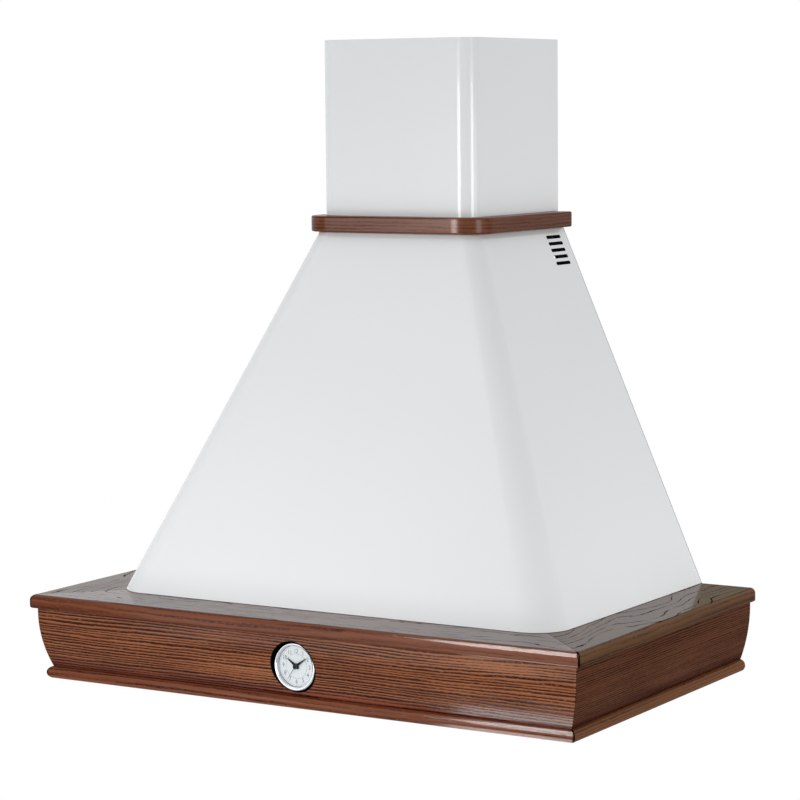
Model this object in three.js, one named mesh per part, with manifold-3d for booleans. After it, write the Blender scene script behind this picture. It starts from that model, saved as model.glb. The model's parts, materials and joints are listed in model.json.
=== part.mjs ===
// Wall-hung range hood: an enamelled steel canopy and chimney on a stained wooden frame,
// with a quartz clock let into the front board.
// Millimetres. +X is right, +Y is towards the wall, +Z is up.
// The origin is below the middle of the hood, at the height of its lowest edge.

import * as THREE from 'three';
import { mergeVertices } from 'three/addons/utils/BufferGeometryUtils.js';
import Module from 'manifold-3d';

const wasm = await Module();
wasm.setup();

// ---------------------------------------------------------------- driving dimensions

const WIDTH = 900;
const DEPTH = 550;
const HALF_WIDTH = WIDTH / 2;
const FRONT_Y = -DEPTH / 2;
const WALL_Y = DEPTH / 2;

const GAP = 0.3; // clearance between pieces that touch
const CORNER_STEPS = 7; // flats in each rounded corner of canopy, collar and chimney
const SHEET = 1.5; // steel sheet of canopy, pan and blower
const THIN_SHEET = 1.2; // steel sheet of the chimney

// Wooden frame, from the floor side up. An inset is measured back from the outermost edge.
const BEAD_HEIGHT = 18;
const BEAD_INSET = 15.5;
const FASCIA_BACK_INSET = 36;
const FASCIA_TOP_INSET = 8;
const FASCIA_CURVE_RADIUS = 232;
const FASCIA_CURVE_START_Z = 100;
const BOARD_BOTTOM_Z = 105;
const BOARD_TOP_Z = 125;
const BOARD_WIDTH = 110;
const NOSE_TOP_RADIUS = 5;
const NOSE_BOTTOM_RADIUS = 6;
const MITRE_GAP = 0.2;
const REAR_RAIL_THICKNESS = 18;
const RAIL_HOLE = { x: 300, z: 62, radius: 4 };
const CORNER_BLOCK = { leg: 48, chamfer: 12, bottomZ: 30 };

// Canopy: a tapered sheet whose front corners are bent to a cone.
const CANOPY_BOTTOM = { z: BOARD_TOP_Z + GAP, halfWidth: 365, frontY: FRONT_Y + 85, radius: 52 };
const CANOPY_TOP = { z: 645 - GAP, halfWidth: 136, frontY: FRONT_Y + 283, radius: 26 };
const CANOPY_WALL_INSET = 1.65; // the sheet measured level, across a leaning wall
const CANOPY_BASE_FLANGE = 20;
const CANOPY_TOP_FLANGE = 15;
const SLOT = { count: 5, topZ: 631.5, pitch: 9.5, length: 41, height: 4.7, fromWall: 22, corner: 1.2 };
const KEYHOLE = { x: 120, z: 580, headRadius: 6, shankRadius: 3, rise: 18 };
const PANEL_HOLE = { x: 280, z: 165, radius: 4 };
const PANEL_FOOT_DEPTH = 20.5;

const COLLAR = { bottomZ: 645, thickness: 23, halfWidth: 150, frontY: FRONT_Y + 269, radius: 46 };
const COLLAR_OPENING = { halfWidth: 105, frontY: 36, backY: 262, radius: 12 };
const COLLAR_EDGE = 2.5;

const CHIMNEY = { halfWidth: 128, frontY: FRONT_Y + 291, radius: 24, topZ: 922 };
const CHIMNEY_BOTTOM_Z = COLLAR.bottomZ + COLLAR.thickness + GAP;
const CHIMNEY_LIP = 18;
const INNER_CHIMNEY_TOP_Z = 914;
const INNER_CHIMNEY_CLEARANCE = 1;
const CHIMNEY_BRACKET = { bottomZ: 878, topZ: 903, frontY: 205, holeX: 90, holeRadius: 3.5 };

// Underside pan and what it carries.
const PAN_Z = 12;
const PAN_FLANGE_HEIGHT = 15;
const PAN_HALF_WIDTH = HALF_WIDTH - FASCIA_BACK_INSET - GAP;
const PAN_FRONT_Y = FRONT_Y + FASCIA_BACK_INSET + GAP;
const PAN_BACK_Y = WALL_Y - REAR_RAIL_THICKNESS - GAP;
const FILTER = { centreX: 168, centreY: 6, width: 306, depth: 286, bottomZ: 10, thickness: 9 };
const FILTER_RAIL = 8;
const FILTER_LIP = 6;
const FILTER_SIDE_GAP = 2;
const FILTER_REAR_GAP = 3.5;
const FILTER_LIP_HEIGHT = 12;
const FILTER_PIVOT = { inFromRear: 6, z: 16, pinRadius: 2, holeRadius: 2.3 };
const MESH_WAVES = 18;
const MESH_WIRE = 1;
const LATCH = { halfLength: 34, gripHalfLength: 20, ribs: [-12, -4, 4, 12] };
const LAMP_SEGMENTS = 16;
const LAMP = { x: 250, y: -195, holeRadius: 31, trimRadius: 34, lensRadius: 26 };
const SWITCH = { y: -197, length: 118, depth: 24, topZ: 34, plateZ: 9.2, plateEdgeX: 6, plateEdgeY: 5 };
const BUTTON = { pitch: 22, length: 14, depth: 10, travel: 3, pocketTopZ: 24 };
const BUTTON_NAMES = ['off', 'speed_1', 'speed_2', 'speed_3', 'light'];

// Blower, with its axle along X.
const BLOWER = { y: 118, z: 400, halfWidth: 87 };
const SCROLL = { rearRadius: 144, cutoffRadius: 106, cutoffAngle: 290, steps: 20 };
const OUTLET_MOUTH = { frontY: 105, backY: BLOWER.y + SCROLL.rearRadius, z: 548 };
const INLET_RADIUS = 72;
const WHEEL = { outerRadius: 95, innerRadius: 80, halfWidth: 72, blades: 24, bladeThickness: 1.2 };
const WHEEL_RING = { innerRadius: 82, thickness: 2.5 };
const HUB = { bossRadius: 12, bossLength: 12, discThickness: 1.8 };
const MOTOR = { radius: 48, startX: 10, endX: 96, shaftRadius: 4 };
const BLOWER_STRAP = { bottomZ: 508, topZ: 540, frontY: 150 };
const CAPACITOR = { radius: 16, y: 236, bottomZ: 385, topZ: 450, studRadius: 5, studHeight: 6 };
const SPIGOT = { y: 184, outerRadius: 75, innerRadius: 73, topZ: 610 };
const TERMINAL_BOX = { centreY: 210, bottomZ: 468, topZ: 545, depth: 80, width: 42 };
const GLAND = { boreRadius: 4, shankRadius: 7, nutRadius: 9.5 };
const FLAP = { radius: 71.5, hingeX: 3.6, z: 566, thickness: 1.2, rollRadius: 1.2, pinRadius: 0.8 };

// Clock: everything on it is placed by its inset from the front edge of the frame.
const CLOCK_Z = 60;
const CLOCK_SEGMENTS = 30;
const CLOCK_BORE = { radius: 37, floorInset: 23.5, bodyRadius: 31 };
const CLOCK_BEZEL = { radius: 34, window: 29, frontInset: 14.5, backInset: 23.2 };
const CLOCK_CASE = { radius: 30.4, backInset: 44 };
const CLOCK_DIAL_INSET = 20.6;
const CLOCK_DIAL_BACK = CLOCK_DIAL_INSET + 0.6;
const MOVEMENT_DEPTH = 13;
const ARBOR_END_INSET = 24.8;
const HAND_THICKNESS = 0.5;
const HANDS = {
  hour: {
    length: 17.5, halfWidth: 1.6, inset: 19.4, degrees: 304.5,
    bossRadius: 3.4, bossFront: 19.4, arborRadius: 1.8, holeRadius: 1.25,
  },
  minute: {
    length: 21, halfWidth: 1.4, inset: 18.3, degrees: 54,
    bossRadius: 3.4, bossFront: 18.3, arborRadius: 0.95, holeRadius: 0.6,
  },
  second: {
    length: 22.5, halfWidth: 0.35, inset: 17.2, degrees: 215,
    bossRadius: 4, bossFront: 16.3, arborRadius: 0.3, holeRadius: 0,
  },
};

// ---------------------------------------------------------------- finishes

const FINISHES = {
  stainedWood: { color: 0x74432c, roughness: 0.35, metalness: 0 },
  plainWood: { color: 0xa9845c, roughness: 0.7, metalness: 0 },
  enamel: { color: 0xe6e8ea, roughness: 0.22, metalness: 0 },
  zincSteel: { color: 0xb4b7ba, roughness: 0.45, metalness: 0.9 },
  aluminium: { color: 0xc4c7ca, roughness: 0.35, metalness: 0.9 },
  chrome: { color: 0xe2e4e6, roughness: 0.12, metalness: 1 },
  blackPlastic: { color: 0x1c1c1e, roughness: 0.5, metalness: 0 },
  whitePlastic: { color: 0xe4e4e2, roughness: 0.4, metalness: 0 },
  dialWhite: { color: 0xeef1f4, roughness: 0.6, metalness: 0 },
  handBlack: { color: 0x15171a, roughness: 0.4, metalness: 0 },
  frostedGlass: { color: 0xe9edf0, roughness: 0.3, metalness: 0 },
  clearGlass: { color: 0xf4f8fa, roughness: 0.05, metalness: 0 },
};

const hood = new THREE.Group();

// Adds one named piece. Its faces are closed up and pointed outwards first.
function add(name, geometry, finish) {
  const mesh = new THREE.Mesh(closed(geometry), new THREE.MeshStandardMaterial(FINISHES[finish]));
  mesh.name = name;
  hood.add(mesh);
}

// ---------------------------------------------------------------- geometry helpers

// Signed volume of a triangle mesh: negative when its faces point inwards.
function signedVolume(geometry) {
  const position = geometry.attributes.position;
  const index = geometry.index;
  const [a, b, c] = [new THREE.Vector3(), new THREE.Vector3(), new THREE.Vector3()];
  let volume = 0;
  for (let i = 0; i < index.count; i += 3) {
    a.fromBufferAttribute(position, index.getX(i));
    b.fromBufferAttribute(position, index.getX(i + 1));
    c.fromBufferAttribute(position, index.getX(i + 2));
    volume += a.dot(b.cross(c)) / 6;
  }
  return volume;
}

// A closed mesh with shared vertices, no flat triangles, and its faces pointing out.
function closed(source) {
  const bare = source.clone();
  bare.deleteAttribute('normal');
  bare.deleteAttribute('uv');
  const merged = mergeVertices(bare, 1e-4);
  const kept = [];
  for (let i = 0; i < merged.index.count; i += 3) {
    const corner = [0, 1, 2].map((k) => merged.index.getX(i + k));
    if (new Set(corner).size === 3) kept.push(...corner);
  }
  merged.setIndex(kept);
  if (signedVolume(merged) < 0) merged.setIndex(kept.reverse());
  return merged;
}

function toSolid(geometry) {
  const mesh = closed(geometry);
  return new wasm.Manifold(new wasm.Mesh({
    numProp: 3,
    vertProperties: new Float32Array(mesh.attributes.position.array),
    triVerts: new Uint32Array(mesh.index.array),
  }));
}

function toGeometry(solid) {
  const mesh = solid.getMesh();
  const geometry = new THREE.BufferGeometry();
  geometry.setAttribute('position', new THREE.BufferAttribute(mesh.vertProperties, 3));
  geometry.setIndex(new THREE.BufferAttribute(mesh.triVerts, 1));
  return geometry;
}

function join(...geometries) {
  return toGeometry(geometries.map(toSolid).reduce((whole, next) => whole.add(next)));
}

function cut(base, ...cutters) {
  return toGeometry(cutters.map(toSolid).reduce((whole, next) => whole.subtract(next), toSolid(base)));
}

function common(first, second) {
  return toGeometry(toSolid(first).intersect(toSolid(second)));
}

// A block between two corners.
function block(x0, x1, y0, y1, z0, z1) {
  const geometry = new THREE.BoxGeometry(x1 - x0, y1 - y0, z1 - z0);
  return geometry.translate((x0 + x1) / 2, (y0 + y1) / 2, (z0 + z1) / 2);
}

// An outline drawn in X and Y, raised from z0 to z1.
function raise(shape, z0, z1, curveSegments = 8) {
  const geometry = new THREE.ExtrudeGeometry(shape, { depth: z1 - z0, bevelEnabled: false, curveSegments });
  return geometry.translate(0, 0, z0);
}

// An outline drawn in X and Z (as its x and y), pushed back from y0 to y1.
function pushBack(shape, y0, y1, curveSegments = 8) {
  return raise(shape, -y1, -y0, curveSegments).rotateX(Math.PI / 2);
}

// An outline drawn in Y and Z (as its x and y), drawn out from x0 to x1.
function drawAcross(shape, x0, x1, curveSegments = 8) {
  return raise(shape, x0, x1, curveSegments).rotateX(Math.PI / 2).rotateZ(Math.PI / 2);
}

// A profile of [radius, height] pairs turned about +Z. It starts and ends on the axis or closes on itself.
function turn(profile, segments = 32) {
  const points = profile.map(([radius, height]) => new THREE.Vector2(radius, height));
  return new THREE.LatheGeometry(points, segments).rotateX(Math.PI / 2);
}

// A ring-shaped profile, closed on itself, turned about +Z.
function turnRing(profile, segments = 32) {
  return turn([...profile, profile[0]], segments);
}

function disc(radius, z0, z1, segments = 32) {
  return turn([[0, z0], [radius, z0], [radius, z1], [0, z1]], segments);
}

// Turns +Z to point at the front of the hood, so that heights become insets behind its front edge.
function faceFront(geometry, x = 0, z = CLOCK_Z) {
  return geometry.rotateX(-Math.PI / 2).translate(x, FRONT_Y, z);
}

function roundedRectangle(x0, x1, y0, y1, radius) {
  const shape = new THREE.Shape();
  shape.moveTo(x0 + radius, y0);
  shape.lineTo(x1 - radius, y0);
  shape.absarc(x1 - radius, y0 + radius, radius, -Math.PI / 2, 0, false);
  shape.lineTo(x1, y1 - radius);
  shape.absarc(x1 - radius, y1 - radius, radius, 0, Math.PI / 2, false);
  shape.lineTo(x0 + radius, y1);
  shape.absarc(x0 + radius, y1 - radius, radius, Math.PI / 2, Math.PI, false);
  shape.lineTo(x0, y0 + radius);
  shape.absarc(x0 + radius, y0 + radius, radius, Math.PI, 1.5 * Math.PI, false);
  return shape;
}

function rectangle(x0, x1, y0, y1) {
  return new THREE.Shape([
    new THREE.Vector2(x0, y0),
    new THREE.Vector2(x1, y0),
    new THREE.Vector2(x1, y1),
    new THREE.Vector2(x0, y1),
  ]);
}

function circle(x, y, radius) {
  const shape = new THREE.Shape();
  shape.absarc(x, y, radius, 0, 2 * Math.PI, false);
  return shape;
}

// Sweeps a closed profile through a list of stations. Each station is a function that places one
// profile point in space, so a station can turn, taper or mitre the profile.
function sweep(profile, stations) {
  const outline = THREE.ShapeUtils.area(profile) < 0 ? [...profile].reverse() : profile;
  const count = outline.length;
  const positions = stations.flatMap((place) => outline.flatMap((point) => place(point).toArray()));
  const index = [];
  for (let s = 0; s + 1 < stations.length; s += 1) {
    for (let i = 0; i < count; i += 1) {
      const near = s * count + i;
      const nearNext = s * count + ((i + 1) % count);
      index.push(near, nearNext, nearNext + count, near, nearNext + count, near + count);
    }
  }
  const last = (stations.length - 1) * count;
  for (const face of THREE.ShapeUtils.triangulateShape(outline, [])) {
    const corners = face.map((k) => outline[k]);
    const [i, j, k] = THREE.ShapeUtils.area(corners) < 0 ? [...face].reverse() : face;
    index.push(k, j, i, last + i, last + j, last + k);
  }
  const geometry = new THREE.BufferGeometry();
  geometry.setAttribute('position', new THREE.Float32BufferAttribute(positions, 3));
  geometry.setIndex(index);
  return closed(geometry);
}

// The level outline of a channel that is open to the wall: left wall, front, right wall.
function channelOutline({ halfWidth, frontY, radius }, backY, steps) {
  const right = [];
  for (let k = 0; k <= steps; k += 1) {
    const angle = (k / steps) * (Math.PI / 2);
    const x = halfWidth - radius + radius * Math.sin(angle);
    const y = frontY + radius - radius * Math.cos(angle);
    right.push(new THREE.Vector2(x, y));
  }
  right.push(new THREE.Vector2(halfWidth, backY));
  const left = right.map((point) => new THREE.Vector2(-point.x, point.y)).reverse();
  return [...left, ...right];
}

// ---------------------------------------------------------------- wooden frame

function boardProfile() {
  const shape = new THREE.Shape();
  shape.moveTo(BOARD_WIDTH, BOARD_BOTTOM_Z);
  shape.lineTo(NOSE_BOTTOM_RADIUS, BOARD_BOTTOM_Z);
  const lowCentre = BOARD_BOTTOM_Z + NOSE_BOTTOM_RADIUS;
  shape.absarc(NOSE_BOTTOM_RADIUS, lowCentre, NOSE_BOTTOM_RADIUS, -Math.PI / 2, -Math.PI, true);
  const highCentre = BOARD_TOP_Z - NOSE_TOP_RADIUS;
  shape.absarc(NOSE_TOP_RADIUS, highCentre, NOSE_TOP_RADIUS, Math.PI, Math.PI / 2, true);
  shape.lineTo(BOARD_WIDTH, BOARD_TOP_Z);
  return shape.getPoints(5);
}

// The fascia drops straight for a few millimetres and then curves in towards the bead.
function fasciaProfile() {
  const bottomZ = BEAD_HEIGHT + GAP;
  const centre = FASCIA_TOP_INSET + FASCIA_CURVE_RADIUS;
  const sweepAngle = Math.asin((FASCIA_CURVE_START_Z - bottomZ) / FASCIA_CURVE_RADIUS);
  const shape = new THREE.Shape();
  shape.moveTo(FASCIA_BACK_INSET, BOARD_BOTTOM_Z - GAP);
  shape.lineTo(FASCIA_TOP_INSET, BOARD_BOTTOM_Z - GAP);
  shape.absarc(centre, FASCIA_CURVE_START_Z, FASCIA_CURVE_RADIUS, Math.PI, Math.PI + sweepAngle, false);
  shape.lineTo(FASCIA_BACK_INSET, bottomZ);
  return shape.getPoints(9);
}

function beadProfile() {
  const radius = BEAD_HEIGHT / 2;
  const shape = new THREE.Shape();
  shape.moveTo(FASCIA_BACK_INSET, 0);
  shape.lineTo(BEAD_INSET + radius, 0);
  shape.absarc(BEAD_INSET + radius, radius, radius, -Math.PI / 2, -1.5 * Math.PI, true);
  shape.lineTo(FASCIA_BACK_INSET, BEAD_HEIGHT);
  return shape.getPoints(10);
}

// A moulding of one profile (x = inset, y = height): across the front, mitred at both ends.
function frontRun(profile) {
  const leftX = -HALF_WIDTH + MITRE_GAP;
  const leftEnd = ({ x: inset, y: z }) => new THREE.Vector3(leftX + inset, FRONT_Y + inset, z);
  const rightEnd = ({ x: inset, y: z }) => new THREE.Vector3(-leftX - inset, FRONT_Y + inset, z);
  return sweep(profile, [leftEnd, rightEnd]);
}

// The same moulding along one side, mitred at the front and square at the wall. side is -1 or 1.
function sideRun(profile, side) {
  const front = ({ x: inset, y: z }) =>
    new THREE.Vector3(side * (HALF_WIDTH - inset), FRONT_Y + inset + MITRE_GAP, z);
  const wall = ({ x: inset, y: z }) => new THREE.Vector3(side * (HALF_WIDTH - inset), WALL_Y, z);
  return sweep(profile, [front, wall]);
}

function frontFascia() {
  const seat = faceFront(disc(CLOCK_BORE.radius, -5, CLOCK_BORE.floorInset, CLOCK_SEGMENTS));
  const through = faceFront(disc(CLOCK_BORE.bodyRadius, 0, FASCIA_BACK_INSET + 5, CLOCK_SEGMENTS));
  return cut(frontRun(fasciaProfile()), seat, through);
}

// A glue block in a front corner, behind the fascias.
function cornerBlock(side) {
  const { leg, chamfer, bottomZ } = CORNER_BLOCK;
  const x = side * (HALF_WIDTH - FASCIA_BACK_INSET - GAP);
  const y = FRONT_Y + FASCIA_BACK_INSET + GAP;
  const triangle = new THREE.Shape([
    new THREE.Vector2(x, y),
    new THREE.Vector2(x, y + leg),
    new THREE.Vector2(x - side * chamfer, y + leg),
    new THREE.Vector2(x - side * leg, y + chamfer),
    new THREE.Vector2(x - side * leg, y),
  ]);
  return raise(triangle, bottomZ, BOARD_BOTTOM_Z - GAP);
}

// The rear rail ties the side fascias together and is screwed to the wall through two holes. Its
// middle stands up between the side boards and carries the foot of the back panel.
function rearRail() {
  const wide = HALF_WIDTH - FASCIA_BACK_INSET - GAP;
  const narrow = HALF_WIDTH - BOARD_WIDTH - GAP;
  const outline = new THREE.Shape([
    new THREE.Vector2(-wide, BEAD_HEIGHT + GAP),
    new THREE.Vector2(wide, BEAD_HEIGHT + GAP),
    new THREE.Vector2(wide, BOARD_BOTTOM_Z - GAP),
    new THREE.Vector2(narrow, BOARD_BOTTOM_Z - GAP),
    new THREE.Vector2(narrow, BOARD_TOP_Z),
    new THREE.Vector2(-narrow, BOARD_TOP_Z),
    new THREE.Vector2(-narrow, BOARD_BOTTOM_Z - GAP),
    new THREE.Vector2(-wide, BOARD_BOTTOM_Z - GAP),
  ]);
  for (const side of [-1, 1]) {
    outline.holes.push(circle(side * RAIL_HOLE.x, RAIL_HOLE.z, RAIL_HOLE.radius));
  }
  return pushBack(outline, WALL_Y - REAR_RAIL_THICKNESS, WALL_Y, 6);
}

function buildWoodenFrame() {
  const runs = { top_board: boardProfile(), fascia: fasciaProfile(), bead: beadProfile() };
  for (const [name, profile] of Object.entries(runs)) {
    const front = name === 'fascia' ? frontFascia() : frontRun(profile);
    add(`front_${name}`, front, 'stainedWood');
    add(`left_${name}`, sideRun(profile, -1), 'stainedWood');
    add(`right_${name}`, sideRun(profile, 1), 'stainedWood');
  }
  add('left_corner_block', cornerBlock(-1), 'plainWood');
  add('right_corner_block', cornerBlock(1), 'plainWood');
  add('rear_rail', rearRail(), 'plainWood');
}

// ---------------------------------------------------------------- canopy and back panel

// The value of one canopy dimension at height z, on the straight line from bottom to top.
function canopyAt(key, z) {
  const share = (z - CANOPY_BOTTOM.z) / (CANOPY_TOP.z - CANOPY_BOTTOM.z);
  return THREE.MathUtils.lerp(CANOPY_BOTTOM[key], CANOPY_TOP[key], share);
}

// The outline of the canopy at height z, drawn in by an inset.
function canopyOutline(inset, z) {
  const level = {
    halfWidth: canopyAt('halfWidth', z) - inset,
    frontY: canopyAt('frontY', z) + inset,
    radius: canopyAt('radius', z) - inset,
  };
  return channelOutline(level, WALL_Y - SHEET - GAP, CORNER_STEPS);
}

// The sheet's own section: the leaning wall, with a flange folded in at its top and at its foot.
function canopySection() {
  const top = CANOPY_TOP.z;
  const foot = CANOPY_BOTTOM.z;
  return [
    new THREE.Vector2(0, foot),
    new THREE.Vector2(CANOPY_BASE_FLANGE, foot),
    new THREE.Vector2(CANOPY_BASE_FLANGE, foot + SHEET),
    new THREE.Vector2(CANOPY_WALL_INSET, foot + SHEET),
    new THREE.Vector2(CANOPY_WALL_INSET, top - SHEET),
    new THREE.Vector2(CANOPY_TOP_FLANGE, top - SHEET),
    new THREE.Vector2(CANOPY_TOP_FLANGE, top),
    new THREE.Vector2(0, top),
  ];
}

function slotCutter(side, row) {
  const z = SLOT.topZ - row * SLOT.pitch;
  const backY = WALL_Y - SLOT.fromWall;
  const half = SLOT.height / 2;
  const outline = roundedRectangle(backY - SLOT.length, backY, z - half, z + half, SLOT.corner);
  const wallX = canopyAt('halfWidth', z);
  const reach = 6;
  return side < 0
    ? drawAcross(outline, -wallX - reach, -wallX + reach, 1)
    : drawAcross(outline, wallX - reach, wallX + reach, 1);
}

function canopyShell() {
  const stationCount = canopyOutline(0, CANOPY_BOTTOM.z).length;
  const stations = [];
  for (let s = 0; s < stationCount; s += 1) {
    stations.push(({ x: inset, y: z }) => {
      const place = canopyOutline(inset, z)[s];
      return new THREE.Vector3(place.x, place.y, z);
    });
  }
  const slots = [];
  for (const side of [-1, 1]) {
    for (let row = 0; row < SLOT.count; row += 1) slots.push(slotCutter(side, row));
  }
  return cut(sweep(canopySection(), stations), ...slots);
}

// A keyhole: the screw head goes in at the round end and the shank runs up the slot.
function keyhole(side) {
  const { z, headRadius: head, shankRadius: shank, rise } = KEYHOLE;
  const x = side * KEYHOLE.x;
  const shape = new THREE.Shape();
  const neck = Math.asin(shank / head);
  shape.moveTo(x + shank, z + head * Math.cos(neck));
  shape.lineTo(x + shank, z + rise);
  shape.absarc(x, z + rise, shank, 0, Math.PI, false);
  shape.lineTo(x - shank, z + head * Math.cos(neck));
  shape.absarc(x, z, head, Math.PI / 2 + neck, 2.5 * Math.PI - neck, false);
  return shape;
}

// The back panel closes the canopy against the wall. Its foot is folded forward.
function backPanel() {
  const outline = new THREE.Shape([
    new THREE.Vector2(-CANOPY_BOTTOM.halfWidth, CANOPY_BOTTOM.z),
    new THREE.Vector2(CANOPY_BOTTOM.halfWidth, CANOPY_BOTTOM.z),
    new THREE.Vector2(CANOPY_TOP.halfWidth, CANOPY_TOP.z),
    new THREE.Vector2(-CANOPY_TOP.halfWidth, CANOPY_TOP.z),
  ]);
  for (const side of [-1, 1]) {
    outline.holes.push(keyhole(side), circle(side * PANEL_HOLE.x, PANEL_HOLE.z, PANEL_HOLE.radius));
  }
  const panel = pushBack(outline, WALL_Y - SHEET, WALL_Y, 4);
  const footX = CANOPY_BOTTOM.halfWidth - CANOPY_BASE_FLANGE - 2;
  const footFrontY = WALL_Y - SHEET - PANEL_FOOT_DEPTH;
  const footBackY = WALL_Y - SHEET / 2;
  const foot = block(-footX, footX, footFrontY, footBackY, CANOPY_BOTTOM.z, CANOPY_BOTTOM.z + SHEET);
  return join(panel, foot);
}

// ---------------------------------------------------------------- collar and chimney

function chimneyCollar() {
  const outline = new THREE.Shape(channelOutline(COLLAR, WALL_Y, CORNER_STEPS));
  const opening = COLLAR_OPENING;
  outline.holes.push(roundedRectangle(
    -opening.halfWidth, opening.halfWidth, opening.frontY, opening.backY, opening.radius,
  ));
  const geometry = new THREE.ExtrudeGeometry(outline, {
    depth: COLLAR.thickness - 2 * COLLAR_EDGE,
    bevelThickness: COLLAR_EDGE,
    bevelSize: COLLAR_EDGE,
    bevelOffset: -COLLAR_EDGE,
    bevelSegments: 2,
    curveSegments: 3,
  });
  return geometry.translate(0, 0, COLLAR.bottomZ + COLLAR_EDGE);
}

// A chimney section: a channel with a lip folded in along the wall on each side.
function chimneySection(channel, backY, lip) {
  const outer = channelOutline(channel, backY, CORNER_STEPS);
  const shrunk = {
    halfWidth: channel.halfWidth - THIN_SHEET,
    frontY: channel.frontY + THIN_SHEET,
    radius: channel.radius - THIN_SHEET,
  };
  const inner = channelOutline(shrunk, backY - THIN_SHEET, CORNER_STEPS).reverse();
  const lipX = channel.halfWidth - lip;
  return new THREE.Shape([
    ...outer,
    new THREE.Vector2(lipX, backY),
    new THREE.Vector2(lipX, backY - THIN_SHEET),
    ...inner,
    new THREE.Vector2(-lipX, backY - THIN_SHEET),
    new THREE.Vector2(-lipX, backY),
  ]);
}

function innerChannel() {
  const step = THIN_SHEET + INNER_CHIMNEY_CLEARANCE;
  return {
    halfWidth: CHIMNEY.halfWidth - step,
    frontY: CHIMNEY.frontY + step,
    radius: CHIMNEY.radius - step,
  };
}

// The strap that is screwed to the wall and holds the top of the inner chimney from inside.
function chimneyBracket() {
  const { bottomZ, topZ, frontY, holeX, holeRadius } = CHIMNEY_BRACKET;
  const outerX = innerChannel().halfWidth - THIN_SHEET - GAP;
  const backY = WALL_Y - THIN_SHEET - INNER_CHIMNEY_CLEARANCE - THIN_SHEET - 2 * GAP;
  const outline = new THREE.Shape([
    new THREE.Vector2(-outerX, backY),
    new THREE.Vector2(-outerX, frontY),
    new THREE.Vector2(-outerX + SHEET, frontY),
    new THREE.Vector2(-outerX + SHEET, backY - SHEET),
    new THREE.Vector2(outerX - SHEET, backY - SHEET),
    new THREE.Vector2(outerX - SHEET, frontY),
    new THREE.Vector2(outerX, frontY),
    new THREE.Vector2(outerX, backY),
  ]);
  const holes = [-1, 1].map((side) => {
    return pushBack(circle(side * holeX, (bottomZ + topZ) / 2, holeRadius), backY - 5, backY + 5);
  });
  return cut(raise(outline, bottomZ, topZ), ...holes);
}

function buildChimney() {
  add('chimney_collar', chimneyCollar(), 'stainedWood');
  const outer = chimneySection(CHIMNEY, WALL_Y, CHIMNEY_LIP);
  add('outer_chimney', raise(outer, CHIMNEY_BOTTOM_Z, CHIMNEY.topZ), 'enamel');
  const innerBackY = WALL_Y - THIN_SHEET - INNER_CHIMNEY_CLEARANCE;
  const inner = chimneySection(innerChannel(), innerBackY, CHIMNEY_LIP);
  add('inner_chimney', raise(inner, CHIMNEY_BOTTOM_Z, INNER_CHIMNEY_TOP_Z), 'enamel');
  add('chimney_bracket', chimneyBracket(), 'zincSteel');
}

// ---------------------------------------------------------------- underside pan

// The hole that one filter hangs in. side is -1 for the left filter and 1 for the right.
function filterHole(side) {
  const halfWidth = FILTER.width / 2 + FILTER_SIDE_GAP;
  const x = side * FILTER.centreX;
  return {
    x0: x - halfWidth,
    x1: x + halfWidth,
    y0: FILTER.centreY - FILTER.depth / 2 - FILTER_SIDE_GAP,
    y1: FILTER.centreY + FILTER.depth / 2 + FILTER_REAR_GAP,
  };
}

function filterPivotY() {
  return FILTER.centreY + FILTER.depth / 2 - FILTER_PIVOT.inFromRear;
}

// Two upright lips beside a filter hole, each drilled for one of the filter's pivot pins.
function filterLips(side) {
  const hole = filterHole(side);
  const outline = rectangle(hole.y0, hole.y1, PAN_Z + SHEET / 2, PAN_Z + FILTER_LIP_HEIGHT);
  outline.holes.push(circle(filterPivotY(), FILTER_PIVOT.z, FILTER_PIVOT.holeRadius));
  return [
    drawAcross(outline, hole.x0 - SHEET, hole.x0, 4),
    drawAcross(outline, hole.x1, hole.x1 + SHEET, 4),
  ];
}

// The pan is a shallow tray with its rim up, open for two filters, two lamps and the switch.
function undersidePan() {
  const rimTop = PAN_Z + PAN_FLANGE_HEIGHT;
  const tray = block(-PAN_HALF_WIDTH, PAN_HALF_WIDTH, PAN_FRONT_Y, PAN_BACK_Y, PAN_Z, rimTop);
  const inX = PAN_HALF_WIDTH - SHEET;
  const hollow = block(-inX, inX, PAN_FRONT_Y + SHEET, PAN_BACK_Y - SHEET, PAN_Z + SHEET, rimTop + 1);
  const openings = [];
  for (const side of [-1, 1]) {
    const { x0, x1, y0, y1 } = filterHole(side);
    openings.push(block(x0, x1, y0, y1, PAN_Z - 1, PAN_Z + SHEET + 1));
    const lampHole = disc(LAMP.holeRadius, PAN_Z - 1, PAN_Z + SHEET + 1, LAMP_SEGMENTS);
    openings.push(lampHole.translate(side * LAMP.x, LAMP.y, 0));
  }
  const halfLength = SWITCH.length / 2 + 1;
  const halfDepth = SWITCH.depth / 2 + 1;
  openings.push(block(
    -halfLength, halfLength, SWITCH.y - halfDepth, SWITCH.y + halfDepth, PAN_Z - 1, PAN_Z + SHEET + 1,
  ));
  return join(cut(tray, hollow, ...openings), ...filterLips(-1), ...filterLips(1));
}

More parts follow.
